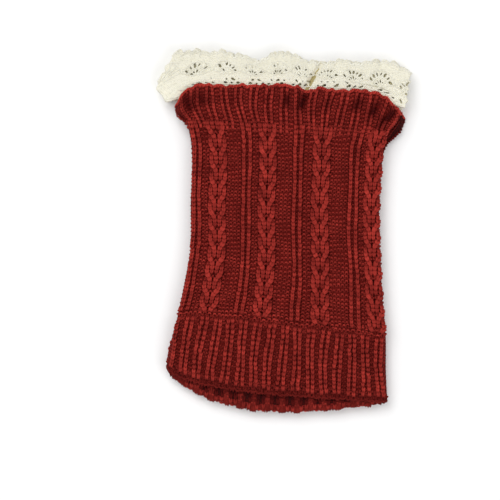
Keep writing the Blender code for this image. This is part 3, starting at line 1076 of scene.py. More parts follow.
@dataclass(frozen=True)
class StitchChart:
    """A patch of knitting: its columns, its courses and the loop that it is made of.

    Its raised columns rise over start_courses and sink over end_courses, each a little differently.
    foot_light scales the painted light and shade of the first courses beside the rest, over foot_courses of
    them.
    """

    wales: tuple[Wale, ...]
    courses: tuple[float, ...]
    start_courses: float = 0.5
    end_courses: float = 0.5
    loop: Loop = Loop()
    unevenness: float = 0.075
    drift: float = 0.003
    foot_light: float = 1.0
    foot_courses: float = 1.3

    def work(self, wrap: Wrap, strands: Strands, sink: float, seed: int, inside: bool = False) -> None:
        """Add one path of yarn for each course.

        Args:
            wrap: The surface that the cloth lies on.
            strands: What the paths are added to.
            sink: How far into the wall the yarn is moved, in millimetres.
            seed: The seed of its unevenness.
            inside: Whether it lies on the wall's inner face.
        """
        chance = np.random.default_rng(seed)
        turn = self.loop.turns()[None, :]
        sign = np.array([wale.stitch.value for wale in self.wales])
        share, width, lift, radius, shade = (
            np.array([getattr(wale, key) for wale in self.wales])
            for key in ("share", "width", "lift", "radius", "shade")
        )
        live = np.abs(sign)[:, None]
        across = (turn / (2.0 * math.pi) - 0.5) + self.loop.neck * np.sin(2.0 * turn) * live
        across = across + self.loop.pinch * np.sin(turn) * np.clip(sign, 0.0, 1.0)[:, None]
        swollen = 1.0 - self.loop.swell * np.cos(2.0 * turn) * sign[:, None]
        purl = (sign < 0.0)[:, None]
        dive = np.where(purl, -self.loop.purl_depth, self.loop.depth) * live
        lean = self.loop.lean * purl
        knit_front = -np.cos(2.0 * turn)
        front = np.where(purl, 0.5 * np.cos(2.0 * turn) - 0.5 * np.cos(turn), knit_front)
        front = np.where(live > 0.0, front, 0.2)
        # Neighbouring columns start and end at slightly different courses
        ragged = chance.uniform(-0.6, 0.6, (2, len(self.wales)))
        for course in self.courses:
            since = (course + 1.0 - self.courses[0]) / self.start_courses + ragged[0]
            until = (self.courses[-1] + 1.0 - course) / self.end_courses + ragged[1]
            stands = smooth_step(0.0, 1.0, np.minimum(since, until))
            height = np.where(sign < 0.0, lift, PURL_LIFT + (lift - PURL_LIFT) * stands)
            shake = chance.normal(0.0, self.unevenness, (3, len(self.wales)))
            tall = np.where(purl, self.loop.purl_reach, self.loop.reach) * (1.0 + shake[0][:, None]) * live
            sway = self.drift * np.sin(course * 0.33 + share * 21.0)
            spots = (share + sway)[:, None] + width[:, None] * (across + 0.6 * shake[1][:, None])
            rows = course + 0.5 - tall * np.cos(turn) + 0.5 * shake[2][:, None]
            rows = rows + 0.18 * np.sin(share * 34.0 + course * 0.7)[:, None]
            raised = height[:, None] - dive * np.cos(2.0 * turn) - lean * np.cos(turn)
            raised = self.eased(raised.ravel())
            thick = (radius[:, None] * swollen).ravel()
            # The yarn stays above the wall's other face
            raised = np.maximum(raised, thick + 0.05 - KNIT_WALL)
            raised = sink - KNIT_WALL - raised if inside else raised - sink
            path = wrap.at(spots.ravel(), rows.ravel(), raised)
            # Painted light and shade: lighter where the yarn lies in front, darker where it dives, with a
            # random tone for each column
            foot = 1.0 + (self.foot_light - 1.0) * bell(course, 0.0, self.foot_courses)
            light = foot * shade * (1.0 + chance.normal(0.0, 0.14, shade.size))
            light = light[:, None] * (1.0 - 0.5 * self.loop.dimming * (1.0 - front))
            strands.add(path, thick, light.ravel())

    @staticmethod
    def eased(values: np.ndarray) -> np.ndarray:
        """Return values with each one drawn a little towards its neighbours."""
        padded = np.pad(values, 1, mode="edge")
        return 0.25 * padded[:-2] + 0.5 * padded[1:-1] + 0.25 * padded[2:]


# How high the columns lie over the wall's face, and how thick their yarn is, in millimetres
KNIT_LIFT = 0.5
PURL_LIFT = -0.9
RIB_PURL_LIFT = -1.25
RUNG_LIFT = -0.35
KNIT_RADIUS = 0.62
PURL_RADIUS = 0.56

# How far a rib's knit columns close up to each other, and its purl columns draw apart, in pitches
KNIT_CLOSING = 0.27
PURL_PARTING = -0.12


def rib_wales(
    start: float, pitch: float, numbers: range, shift: int, broad: float = 1.3, ground: float = 0.5
) -> tuple[Wale, ...]:
    """Return the columns of a 2 by 2 rib.

    Args:
        start: The share of column 0's middle.
        pitch: The share from one column to the next.
        numbers: Which columns there are.
        shift: How many columns the pattern is moved by.
        broad: How many times the pitch a raised column is wide.
        ground: The painted shade of the sunken columns.

    Returns:
        The columns, with a rung of plain yarn between the two of each raised pair.
    """
    wales = []
    for number in numbers:
        knit = (number + shift) % RIB_WALES < RIB_WALES / 2
        stitch = Stitch.KNIT if knit else Stitch.PURL
        side = 1.0 if (number + shift) % 2 else -1.0
        share = start + pitch * (number + side * (KNIT_CLOSING if knit else PURL_PARTING))
        lift = KNIT_LIFT if knit else RIB_PURL_LIFT
        radius = KNIT_RADIUS * (0.4 + 0.46 * broad) if knit else PURL_RADIUS
        width = pitch * (broad if knit else 0.8)
        # Sunken columns and the rungs of raised pairs are painted darker, as shade
        wales.append(Wale(share, width, stitch, lift, radius, 1.0 if knit else ground))
        if knit and side < 0.0:
            rung = start + pitch * (number + 0.5)
            wales.append(Wale(rung, 0.35 * pitch, Stitch.FLOAT, RUNG_LIFT, PURL_RADIUS, 0.75))
    return tuple(wales)


class Panel(Enum):
    """What a run of columns of the body is."""

    PURL = "purl"
    RIB = "rib"
    CABLE = "cable"


@dataclass(frozen=True)
class Band:
    """A run of columns across the body: what it is, how many, and how wide together, in millimetres."""

    panel: Panel
    wales: int
    width: float


# The body's columns from its left fold to its right one
BODY_BANDS = (
    Band(Panel.PURL, 1, 0.6),
    Band(Panel.RIB, 2, 6.2),
    Band(Panel.PURL, 2, 5.0),
    Band(Panel.CABLE, 4, 12.2),
    Band(Panel.PURL, 4, 10.2),
    Band(Panel.RIB, 2, 7.0),
    Band(Panel.PURL, 2, 4.6),
    Band(Panel.CABLE, 4, 12.0),
    Band(Panel.PURL, 4, 11.2),
    Band(Panel.RIB, 2, 7.2),
    Band(Panel.PURL, 2, 6.0),
    Band(Panel.CABLE, 4, 12.2),
    Band(Panel.PURL, 5, 12.6),
    Band(Panel.RIB, 2, 7.8),
    Band(Panel.PURL, 2, 4.0),
    Band(Panel.CABLE, 3, 10.2),
    Band(Panel.PURL, 1, 0.4),
)
BODY_WIDTH = sum(band.width for band in BODY_BANDS)


def fold_wales(start: float) -> list[Wale]:
    """Return the two sunken columns that turn round a side fold, painted darker as shade."""
    return [Wale(share, 0.02, Stitch.PURL, -1.1, PURL_RADIUS, 0.8) for share in (start, start + 0.02)]


def body_wales(plain: bool) -> tuple[Wale, ...]:
    """Return the body's columns, from a little round the left fold to a little round the right one.

    Args:
        plain: Whether every column is purl, as in the few courses over the hem rib.

    Returns:
        One column for each.
    """
    wales = fold_wales(-0.025)
    start = 0.0
    for band in BODY_BANDS:
        for number in range(band.wales):
            share = (start + band.width * (number + 0.5) / band.wales) / BODY_WIDTH
            width = band.width / band.wales / BODY_WIDTH
            # Purl columns, rungs and the floats behind the cables are painted darker, as shade
            if plain:
                wales.append(Wale(share, width, Stitch.PURL, -0.45, PURL_RADIUS, 1.0))
            elif band.panel is Panel.PURL:
                wales.append(Wale(share, width, Stitch.PURL, PURL_LIFT, PURL_RADIUS, 0.8))
            elif band.panel is Panel.RIB:
                apart = share + (number - 0.5) * 0.55 / BODY_WIDTH
                wales.append(Wale(apart, 3.0 / BODY_WIDTH, Stitch.KNIT, KNIT_LIFT, KNIT_RADIUS, 1.0))
                if number == 0:
                    rung = (start + band.width / 2.0) / BODY_WIDTH
                    wales.append(Wale(rung, 1.0 / BODY_WIDTH, Stitch.FLOAT, RUNG_LIFT, PURL_RADIUS, 0.75))
            else:
                wales.append(Wale(share, width, Stitch.FLOAT, -1.6, PURL_RADIUS, 0.5))
        start += band.width
    return tuple(wales + fold_wales(1.005))


@dataclass(frozen=True)
class Cable:
    """One cable: on each side of its middle, two columns that cross every few courses.

    The inner column always crosses outwards in front, and the outer one inwards behind it, which
    makes a V up the leg. middle is the cable's place as a share, half its half width in
    millimetres, and foot the course of its first crossing.
    """

    middle: float
    half: float
    foot: float
    crossing: float = 4.0
    crossing_rows: float = 2.7
    inner: float = 0.26
    outer: float = 0.77
    wale_share: float = 0.54
    course_mm: float = 2.73
    run: float = 0.4
    high: float = 1.5
    low: float = -1.6
    radius: float = 0.78
    first_course: float = HEM_RIB_TOP + 1.5
    last_course: float = BODY_TOP + 0.5

    def work(self, wrap: Wrap, strands: Strands, chance: np.random.Generator) -> None:
        """Add the yarn of the four columns, one stitch at a time.

        Args:
            wrap: The surface that it lies on.
            strands: What its paths are added to.
            chance: Where its unevenness comes from.
        """
        for course in np.arange(self.first_course, self.last_course):
            for side in (-1.0, 1.0):
                for phase in (0.0, self.crossing):
                    self.stitch(wrap, strands, float(course), side, phase, chance)

    def sway(self, row: np.ndarray, phase: float) -> tuple[np.ndarray, np.ndarray]:
        """Return where a column stands at rows, and how far in front it is.

        Args:
            row: Rows along the leg.
            phase: Rows by which this column comes after the first one.

        Returns:
            0 at the inner place to 1 at the outer one, and -1 behind to 1 in front.
        """
        turn = np.mod(row - self.foot - phase + 2.0 * self.crossing, 2.0 * self.crossing)
        half = self.crossing_rows / 2.0
        wide = 2.0 * self.crossing
        out = smooth_step(-half, half, turn) + smooth_step(wide - half, wide + half, turn)
        back = smooth_step(self.crossing - half, self.crossing + half, turn)
        depth = bell(turn, 0.0, half) + bell(turn, wide, half) - bell(turn, self.crossing, half)
        return out - back, depth

    def stitch(
        self,
        wrap: Wrap,
        strands: Strands,
        course: float,
        side: float,
        phase: float,
        chance: np.random.Generator,
    ) -> None:
        """Add one stitch of one column.

        Args:
            wrap: The surface that it lies on.
            strands: What its path is added to.
            course: Its course.
            side: -1 left of the cable's middle and 1 right of it.
            phase: Rows by which its column comes after the first one.
            chance: Where its unevenness comes from.
        """
        loop = Loop(depth=0.95, dimming=0.72, samples=11)
        turn = np.concatenate([[-0.7], loop.turns(), [2.0 * math.pi + 0.7]])
        shake = chance.normal(0.0, 0.09, 3)
        along = course + 0.5 - (loop.reach + shake[0]) * np.cos(turn)
        across = turn / (2.0 * math.pi) - 0.5 + loop.neck * np.sin(2.0 * turn) + loop.pinch * np.sin(turn)
        place, depth = self.sway(along, phase)
        ahead, _ = self.sway(along + 0.25, phase)
        behind, _ = self.sway(along - 0.25, phase)
        span = (self.outer - self.inner) * self.half
        slope = np.arctan((ahead - behind) / 0.5 * span / self.course_mm)
        wale = self.wale_share * self.half
        wide = across * wale * (1.0 + 0.18 * np.clip(depth, 0.0, 1.0) + 0.05 * shake[1])
        right = side * (self.inner * self.half + span * place) + wide * np.cos(slope)
        up = along * self.course_mm - side * wide * np.sin(slope)
        crown = np.where(depth > 0.0, self.run + (self.high - self.run) * depth, self.run - self.low * depth)
        lift = crown - loop.depth * np.cos(2.0 * turn) - 0.8 * (np.abs(across) > 0.46)
        thick = self.radius * (1.0 - loop.swell * np.cos(2.0 * turn)) * (1.0 + 0.12 * depth)
        # Painted shade where the yarn dives, painted light where a column crosses in front, and a random
        # tone
        light = 1.0 - 0.5 * loop.dimming * (1.0 + np.cos(2.0 * turn))
        light = light * (0.98 + 0.2 * depth + 1.1 * shake[2])
        lift = np.maximum(StitchChart.eased(lift), thick + 0.05 - KNIT_WALL)
        path = wrap.at(self.middle + right / BODY_WIDTH, up / self.course_mm, lift)
        strands.add(path, thick, light)


def cable_list() -> list[Cable]:
    """Return the body's cables, whose feet stand higher on the left.

    Returns:
        One cable for each cable band, from the left.
    """
    cables = []
    start = 0.0
    feet = iter((21.8, 21.6, 21.0, 20.6))
    for band in BODY_BANDS:
        if band.panel is Panel.CABLE:
            middle = (start + band.width / 2.0) / BODY_WIDTH
            outer = 0.77 if band.width > 11.0 else 0.86
            cables.append(Cable(middle, band.width / 2.0, next(feet), outer=outer))
        start += band.width
    return cables


@dataclass
class KnittedTube:
    """One knitted tube: a thin shell on its solid's form, and the yarn that is looped over it."""

    name: str
    form: TubeForm
    stitched: bool
    shell_sink: float
    wales: int = 124
    flat: tuple[float, float] = (0.285, 0.205)
    rests_on: tuple[str, ...] = ()
    pieces: list[bpy.types.Object] = field(default_factory=list)

    def build(self, sweep: YarnSweep, looks: KnitLooks) -> None:
        """Build the shell and its yarn, and set them on the frame.

        Args:
            sweep: What sweeps paths into yarn.
            looks: The tube's materials.
        """
        wrap = self.form.wrap()
        shell = self.shell(wrap, looks)
        if self.stitched:
            self.stitch(wrap, sweep, looks.yarn)
        self.edges(wrap, sweep, looks.yarn)
        node = self.name + "_knit_tube"
        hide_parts(node)
        for piece in (shell, *self.pieces):
            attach(piece, "root")
        LOG.info("%s: shell and %d pieces of yarn", node, len(self.pieces))

    def shell(self, wrap: Wrap, looks: KnitLooks) -> bpy.types.Object:
        """Return the thin closed shell, ribbed where no yarn is looped over it.

        Args:
            wrap: The surface that it follows.
            looks: Its materials.

        Returns:
            The shell.
        """
        rows = np.concatenate([[0.0, 1.1], np.arange(2.0, EDGE_COURSE + 0.1, 2.0)])
        fold = np.array([0.0, 0.002, 0.006, 0.012])
        half = np.concatenate([fold, np.linspace(0.02, 0.98, 122), 1.0 - fold[:0:-1]])
        shares = np.concatenate([half, 1.0 + half])
        grid_share, grid_row = np.meshgrid(shares, rows)
        front = (grid_share > 0.0) & (grid_share < 1.0)
        wale = grid_share * self.wales / 2.0
        ridge = 0.5 + 0.5 * np.sin(2.0 * np.pi * (wale + 1.0) / RIB_WALES)
        # The plain ribs rise on the unseen front, and sink into the seen tube's back
        ribbed = -0.4 * (grid_share > 1.0) if self.stitched else 0.3 * front
        lift = np.where(front, -self.shell_sink, 0.0) + ribbed * ridge
        outer = wrap.at(grid_share, grid_row, lift)
        inner = wrap.at(grid_share, grid_row, np.full(grid_share.shape, -KNIT_WALL))
        kept = np.ones((len(rows) - 1, len(shares)), bool)
        chart = np.stack(np.meshgrid(np.append(shares, 2.0) * self.wales / 2.0, rows), axis=-1)
        low = rows[:-1, None]
        # Painted shade on the front under the yarn, and painted shadow behind the hem's front and between
        # the two tubes beside the mouth, where no light gets in
        if self.stitched:
            behind_hem = (low > 1.0) & (low < HEM_RIB_TOP - 1.0) & (shares > 1.0)[None, :]
            patches = [(looks.depth, kept & (shares < 1.0)[None, :], 0), (looks.painted_shadow, behind_hem, 1)]
        else:
            beside_mouth = (low >= SIDE_COURSE) & (np.abs(shares - 0.93) < 0.1)[None, :]
            patches = [(looks.painted_shadow, beside_mouth, 0)]
        return shell_object(self.name + "_knit_cloth", outer, inner, chart, kept, looks.cloth, patches)

    def stitch(self, wrap: Wrap, sweep: YarnSweep, yarn: bpy.types.Material) -> None:
        """Loop the yarn of the hem rib, the body, its cables and the top rib over the front.

        Args:
            wrap: The surface that it lies on.
            sweep: What sweeps paths into yarn.
            yarn: The yarn's material.
        """
        rib = rib_wales(-0.0067, HEM_PITCH, range(-2, 65), 0)
        # The cast-on courses are painted darker, as the shade of the rolled hem edge
        plain = tuple(replace(wale, stitch=Stitch.PURL, lift=-0.3, shade=0.7) for wale in rib)
        cast_on = StitchChart(plain, (0.1, 0.7), unevenness=0.2, foot_light=0.5)
        hem = StitchChart(rib, tuple(np.arange(1.0, HEM_RIB_TOP)), 0.9, 2.0, unevenness=0.1, drift=0.004)
        self.sweep_chart("hem_rib", (cast_on, hem), wrap, sweep, yarn, 3)
        garter_rows = (HEM_RIB_TOP - 0.2, HEM_RIB_TOP + 0.8)
        garter = StitchChart(body_wales(True), garter_rows, unevenness=0.15)
        body = StitchChart(body_wales(False), tuple(np.arange(HEM_RIB_TOP + 1.6, 40.0)))
        self.sweep_chart("body_low", (garter, body), wrap, sweep, yarn, 5)
        body = StitchChart(body_wales(False), tuple(np.arange(39.6, BODY_TOP)), end_courses=2.0)
        self.sweep_chart("body_high", (body,), wrap, sweep, yarn, 7)
        top = rib_wales(-0.031, TOP_PITCH, range(0, 63), 2, 0.92, 0.78)
        top_rows = tuple(np.arange(BODY_TOP - 1.4, EDGE_COURSE - 0.6))
        top_chart = StitchChart(top, top_rows, 3.0, 0.8, drift=0.004)
        self.sweep_chart("top_rib", (top_chart,), wrap, sweep, yarn, 9)
        strands = Strands(self.form.dips)
        chance = np.random.default_rng(11)
        for cable in cable_list():
            cable.work(wrap, strands, chance)
        self.pieces.append(sweep.piece(self.name + "_cables", strands, 6, yarn))

    def sweep_chart(
        self,
        part: str,
        charts: tuple[StitchChart, ...],
        wrap: Wrap,
        sweep: YarnSweep,
        yarn: bpy.types.Material,
        seed: int,
    ) -> None:
        """Sweep charts into one piece of the tube.

        Args:
            part: The piece's name after the tube's.
            charts: The charts that it is knitted from.
            wrap: The surface that they lie on.
            sweep: What sweeps paths into yarn.
            yarn: The yarn's material.
            seed: The seed of their unevenness.
        """
        strands = Strands(self.form.dips)
        for number, chart in enumerate(charts):
            chart.work(wrap, strands, 0.0, seed + number)
        self.pieces.append(sweep.piece(self.name + "_" + part, strands, 5, yarn))

    def edges(self, wrap: Wrap, sweep: YarnSweep, yarn: bpy.types.Material) -> None:
        """Bind both ends of the tube with a chain of yarn, and knit what shows beside them.

        Args:
            wrap: The surface that they lie on.
            sweep: What sweeps paths into yarn.
            yarn: The yarn's material.
        """
        strands = Strands()
        self.chains(wrap, strands)
        if self.stitched:
            self.back_hem(wrap, strands)
        else:
            self.mouth_side(wrap, strands)
        self.pieces.append(sweep.piece(self.name + "_edges", strands, 5, yarn))

    @staticmethod
    def chains(wrap: Wrap, strands: Strands) -> None:
        """Add a chain of two strands along the rim, and another along the hem.

        Args:
            wrap: The surface that they lie on.
            strands: What their paths are added to.
        """
        step = np.arange(0.0, 2.0, 1.0 / CHAIN_STITCHES / 8.0)
        turn = step * CHAIN_STITCHES * 2.0 * math.pi
        uneven = 0.22 * np.sin(step * 71.0) + 0.18 * np.sin(step * 127.0 + 1.0)
        # The hem's chain gets painted shade for the front rib's shadow, but for the back that hangs below it
        hanging = smooth_step(1.05, 1.15, step) * smooth_step(1.98, 1.88, step)
        for phase, side in ((0.0, 1.0), (math.pi, -1.0)):
            rim = wrap.at(
                step,
                EDGE_COURSE + 0.28 * np.sin(turn + phase) + 0.5 * uneven,
                -0.5 + side * 0.35 + 0.45 * np.cos(turn + phase),
            )
            hem = wrap.at(
                step,
                0.2 - 0.35 * np.abs(np.sin(step * 42.0 * math.pi)) + 0.4 * uneven,
                -0.8 + side * 0.45 + 0.2 * np.cos(turn + phase),
            )
            # The rim's chain gets a painted highlight
            for path, radius, shade in ((rim, 0.58, 1.45), (hem, 0.62, 0.3 + 0.9 * hanging)):
                path = np.concatenate([path, path[:1]])
                strands.add(path, radius, np.resize(shade, len(path)))

    @staticmethod
    def back_hem(wrap: Wrap, strands: Strands) -> None:
        """Add the rib on both faces of the hanging back, and the stitches up the right fold with a painted
        highlight.

        Args:
            wrap: The surface that they lie on.
            strands: What their paths are added to.
        """
        back = rib_wales(1.05, HEM_PITCH, range(0, 56), 0)
        back = tuple(Wale(w.share, w.width, w.stitch, 0.3 * w.lift, 0.8, 0.9) for w in back)
        outer_chart = StitchChart(back, tuple(np.arange(0.0, 5.0)), unevenness=0.09)
        outer_chart.work(wrap, strands, 1.0, 17)
        # Painted shadow inside the hem, from about a course in
        inner = tuple(replace(w, lift=1.6 * w.lift, radius=0.6, shade=-0.1) for w in back)
        inner_chart = StitchChart(
            inner,
            tuple(np.arange(0.0, 6.0)),
            loop=Loop(depth=0.9),
            unevenness=0.14,
            foot_light=-8.0,
            foot_courses=0.75,
        )
        inner_chart.work(wrap, strands, 0.2, 19, inside=True)
        # A painted highlight on the stitches up the right fold
        row = np.arange(60.0, EDGE_COURSE, 0.22)
        side_stitch = wrap.at(0.993 + 0.003 * np.sin(row * 5.5), row, 0.1 + 0.25 * np.cos(row * 5.5))
        strands.add(side_stitch, 0.66, 1.05 + 0.25 * np.sin(row * 6.3))

    @staticmethod
    def mouth_side(wrap: Wrap, strands: Strands) -> None:
        """Add the rib beside the mouth in painted shadow, which alone shows of the lower tube.

        Args:
            wrap: The surface that it lies on.
            strands: What its paths are added to.
        """
        side_wales = tuple(
            replace(wale, lift=max(wale.lift, -0.2), shade=0.3 * wale.shade - 0.12)
            for wale in rib_wales(0.83, TOP_PITCH, range(0, 11), 3)
        )
        side = StitchChart(side_wales, tuple(np.arange(SIDE_COURSE, EDGE_COURSE)))
        side.work(wrap, strands, 0.2, 21)


@dataclass(frozen=True)
class Eyelet:
    """A hole in the lace: its middle, half sizes and turn, across and up one motif, in millimetres."""

    across: float
    up: float
    half_across: float
    half_up: float
    turn: float


@dataclass(frozen=True)
class Fan:
    """One repeat of the crochet: a row of eyelets, and a fan of petals over it, in millimetres.

    open_share is how many of the eyelets have stayed open, as the work is uneven, and shut the
    scale of one that has closed. spread is the angle that the fan opens to, in degrees.
    """

    pitch: float = 18.3
    height: float = 22.0
    open_share: float = 0.72
    shut: float = 0.01
    base_up: float = 1.7
    base_eyelets: int = 4
    fan_up: float = 7.2
    # Each ring's radius, its count of petals and the half length of its holes
    petal_rings: tuple[tuple[float, int, float], ...] = ((3.0, 5, 1.1), (6.9, 7, 1.25))
    spread: float = 124.0

    def eyelets(self) -> list[Eyelet]:
        """Return the holes of one repeat.

        Returns:
            The base's two rows of holes, and then the fan's rings.
        """
        holes = []
        step = self.pitch / self.base_eyelets
        for number in range(self.base_eyelets):
            across = (number + 0.5) * step - self.pitch / 2.0
            holes.append(Eyelet(across, self.base_up, 1.6, 1.0, 0.35))
            holes.append(Eyelet(across + step / 2.0, self.base_up + 2.6, 1.3, 0.65, -0.25))
        for radius, count, half in self.petal_rings:
            for number in range(count):
                lean = math.radians(-self.spread / 2.0 + self.spread * number / (count - 1))
                across = radius * math.sin(lean)
                up = self.fan_up + radius * math.cos(lean)
                holes.append(Eyelet(across, up, half, 0.5 * half, math.pi / 2.0 - 1.3 * lean))
        return holes

    def threads(self) -> list[np.ndarray]:
        """Return the raised threads of one repeat.

        Returns:
            Flat paths, across and up.
        """
        edge = np.array([self.pitch / 2.0, 0.0])
        start = np.array([0.0, 0.9])
        paths = [self.chain(start - edge, start + edge)]
        step = self.pitch / self.base_eyelets
        for number in range(self.base_eyelets):
            across = number * step - self.pitch / 2.0
            bend = [across - 0.25, self.base_up]
            paths.append(np.array([[across, 1.0], bend, [across, self.base_up + 1.7]]))
        for radius, count, half in self.petal_rings:
            gap = self.spread / (count - 1)
            foot = np.array([0.0, self.fan_up])
            for number in range(count + 1):
                lean = math.radians(-self.spread / 2.0 - gap / 2.0 + gap * number)
                ray = np.array([math.sin(lean), math.cos(lean)])
                ends = (radius - half - 0.9, radius + half + 0.6)
                paths.append(np.array([foot + ray * end for end in ends]))
            arc = np.radians(np.linspace(-72.0, 72.0, 30))
            rim = radius + half + 1.0 + 0.3 * np.cos(np.linspace(0.0, 30.0, 30) * 2.1)
            paths.append(np.stack([rim * np.sin(arc), self.fan_up + rim * np.cos(arc)], axis=-1))
        return [self.kept(path) for path in paths]

    def kept(self, path: np.ndarray) -> np.ndarray:
        """Return a path held inside the lace's height."""
        return np.stack([path[:, 0], np.clip(path[:, 1], 0.3, self.height - 0.6)], axis=-1)

    @staticmethod
    def chain(start: np.ndarray, end: np.ndarray) -> np.ndarray:
        """Return a wavy path between two points, as a row of chain stitches lies.

        Args:
            start: Its first point.
            end: Its last point.

        Returns:
            Its points.
        """
        steps = np.linspace(0.0, 1.0, 41)
        path = start + (end - start) * steps[:, None]
        path[:, 1] += 0.35 * np.sin(steps * 2.0 * math.pi * 8.0)
        return path


@dataclass
class LaceBand:
    """One gathered lace band: a thin cloth with eyelets, and the raised threads of its fans.

    Its cells are counted across one motif and up the band, share_shift is where its first motif
    starts, and the inner face and the deep fold get painted shade up to painted_inside_row and
    fold_row, in tenths.
    """

    name: str
    form: LaceForm
    fan: Fan
    cells: int
    up_cells: int
    raised: bool
    share_shift: float = 0.0655
    cloth_wall: float = 0.5
    thread_radius: float = 0.42
    picot_radius: float = 0.55
    picot_row: float = 9.75
    stitch_mm: tuple[float, float] = (1.5, 1.3)
    painted_inside_row: float = 8.6
    fold_row: float = 8.2
    flat: tuple[float, float] = (0.345, 0.034)
    rests_on: tuple[str, ...] = ()

    def build(self, sweep: YarnSweep, looks: LaceLooks) -> None:
        """Build the cloth and its threads, and set them on the frame.

        Args:
            sweep: What sweeps paths into thread.
            looks: The band's materials.
        """
        wrap = self.form.wrap()
        ground = self.ground(wrap, looks)
        pieces = [self.threads(wrap, sweep, looks.thread)] if self.raised else []
        node = self.name + "_lace_band"
        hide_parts(node)
        for piece in (ground, *pieces):
            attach(piece, "root")
        LOG.info("%s: cloth of %d faces", node, len(ground.data.polygons))

    def ground(self, wrap: Wrap, looks: LaceLooks) -> bpy.types.Object:
        """Return the closed cloth, with each eyelet cut through it.

        Args:
            wrap: The surface that it follows.
            looks: Its materials.

        Returns:
            The cloth.
        """
        pitch = self.fan.pitch
        around = self.form.motifs * self.cells
        across = np.arange(around) * pitch / self.cells
        tuck = np.array([-3.5, -1.75, 0.0])
        up = np.linspace(0.0, self.fan.height, self.up_cells + 1)[1:]
        grid_across, grid_up, hole = self.opened(*np.meshgrid(across, up))
        share = grid_across / pitch * 2.0 / self.form.motifs + self.share_shift
        inside_rim = (len(tuck), around)
        tucked = across / pitch * 2.0 / self.form.motifs + self.share_shift
        all_share = np.concatenate([np.broadcast_to(tucked, inside_rim), share])
        tenth = self.tenth(wrap, grid_up)
        all_rows = np.concatenate([np.broadcast_to(tuck[:, None], inside_rim), tenth])
        right = np.roll(hole, -1, axis=1)
        open_cells = hole[:-1] & right[:-1] & right[1:] & hole[1:]
        kept = np.concatenate([np.ones(inside_rim, bool), ~open_cells])
        outer = wrap.at(all_share, all_rows, 0.0)
        inner = wrap.at(all_share, all_rows, -self.cloth_wall)
        stitches = np.arange(around + 1) * pitch / self.cells / self.stitch_mm[0]
        chart = np.stack(np.meshgrid(stitches, np.append(tuck, up / self.stitch_mm[1])), axis=-1)
        # Painted shade on the inner face up to its row, and on the outer face along the deep fold
        patches = [(looks.painted_inside, all_rows[1:] < self.painted_inside_row, 1)]
        if self.form.crease > 0.0:
            far = np.abs(outer[1:, :, 0] - self.form.crease_line(outer[1:, :, 1]) - 0.4)
            broad = 1.5 * np.clip((self.fold_row - all_rows[1:]) / 4.0, 0.0, 1.0)
            patches.append((looks.fold, (far < broad) & (all_share[1:] < 1.0), 0))
        return shell_object(self.name + "_lace_cloth", outer, inner, chart, kept, looks.cloth, patches)

    def opened(self, across: np.ndarray, up: np.ndarray) -> tuple[np.ndarray, np.ndarray, np.ndarray]:
        """Open the eyelets in a grid of places, each a little differently.

        Args:
            across: Places round the band, in millimetres.
            up: Places up it.

        Returns:
            Both places after the move, and which points are in a hole or on its edge.
        """
        pitch = self.fan.pitch
        motif = np.floor(across / pitch)
        local = across - (motif + 0.5) * pitch
        hole = np.zeros(across.shape, bool)
        chance = np.random.default_rng(29)
        for eyelet in self.fan.eyelets():
            worked = chance.uniform(0.6, 1.25, self.form.motifs)
            is_open = chance.random(self.form.motifs) < self.fan.open_share
            worked = np.where(is_open, worked, self.fan.shut)
            # The last motif lies over the left fold, which presses its eyelets shut
            worked[-1] = self.fan.shut
            turned = replace(eyelet, turn=eyelet.turn + float(chance.normal(0.0, 0.3)))
            size = worked[motif.astype(int)]
            local, up, inside = self.cut(turned, size, local, up, pitch / self.cells)
            hole |= inside
        return local + (motif + 0.5) * pitch, up, hole

    def tenth(self, wrap: Wrap, up: np.ndarray) -> np.ndarray:
        """Return the rows at heights up the band, measured along its front middle.

        Args:
            wrap: The band's surface.
            up: Heights above the knitted edge, in millimetres.

        Returns:
            A row for each.
        """
        rows = wrap.rows[wrap.rows >= 0.0]
        middle = wrap.at(np.full(rows.shape, 0.5), rows, 0.0)
        length = np.concatenate([[0.0], np.cumsum(np.linalg.norm(np.diff(middle, axis=0), axis=1))])
        return np.interp(up / self.fan.height, length / length[-1], rows)

    @staticmethod
    def cut(
        eyelet: Eyelet, scale: np.ndarray, across: np.ndarray, up: np.ndarray, cell: float
    ) -> tuple[np.ndarray, np.ndarray, np.ndarray]:
        """Move the points near an eyelet's edge on to it.

        Args:
            eyelet: The hole.
            scale: How open it is at each place: about 1, or near 0 where the work has closed it.
            across: Places across the motif.
            up: Places up it.
            cell: How wide a cell is.

        Returns:
            Both places after the move, and which points are in the hole or on its edge.
        """
        cos, sin = math.cos(eyelet.turn), math.sin(eyelet.turn)
        x = (across - eyelet.across) * cos + (up - eyelet.up) * sin
        y = -(across - eyelet.across) * sin + (up - eyelet.up) * cos
        far = np.maximum(np.hypot(x / eyelet.half_across, y / eyelet.half_up) / scale, 1e-6)
        size = np.hypot(x, y)
        near = (np.abs(size - size / far) < 0.55 * cell) & (scale > 0.5)
        x = np.where(near, x / far, x)
        y = np.where(near, y / far, y)
        moved_across = eyelet.across + x * cos - y * sin
        moved_up = eyelet.up + x * sin + y * cos
        return moved_across, moved_up, near | (far < 1.0)

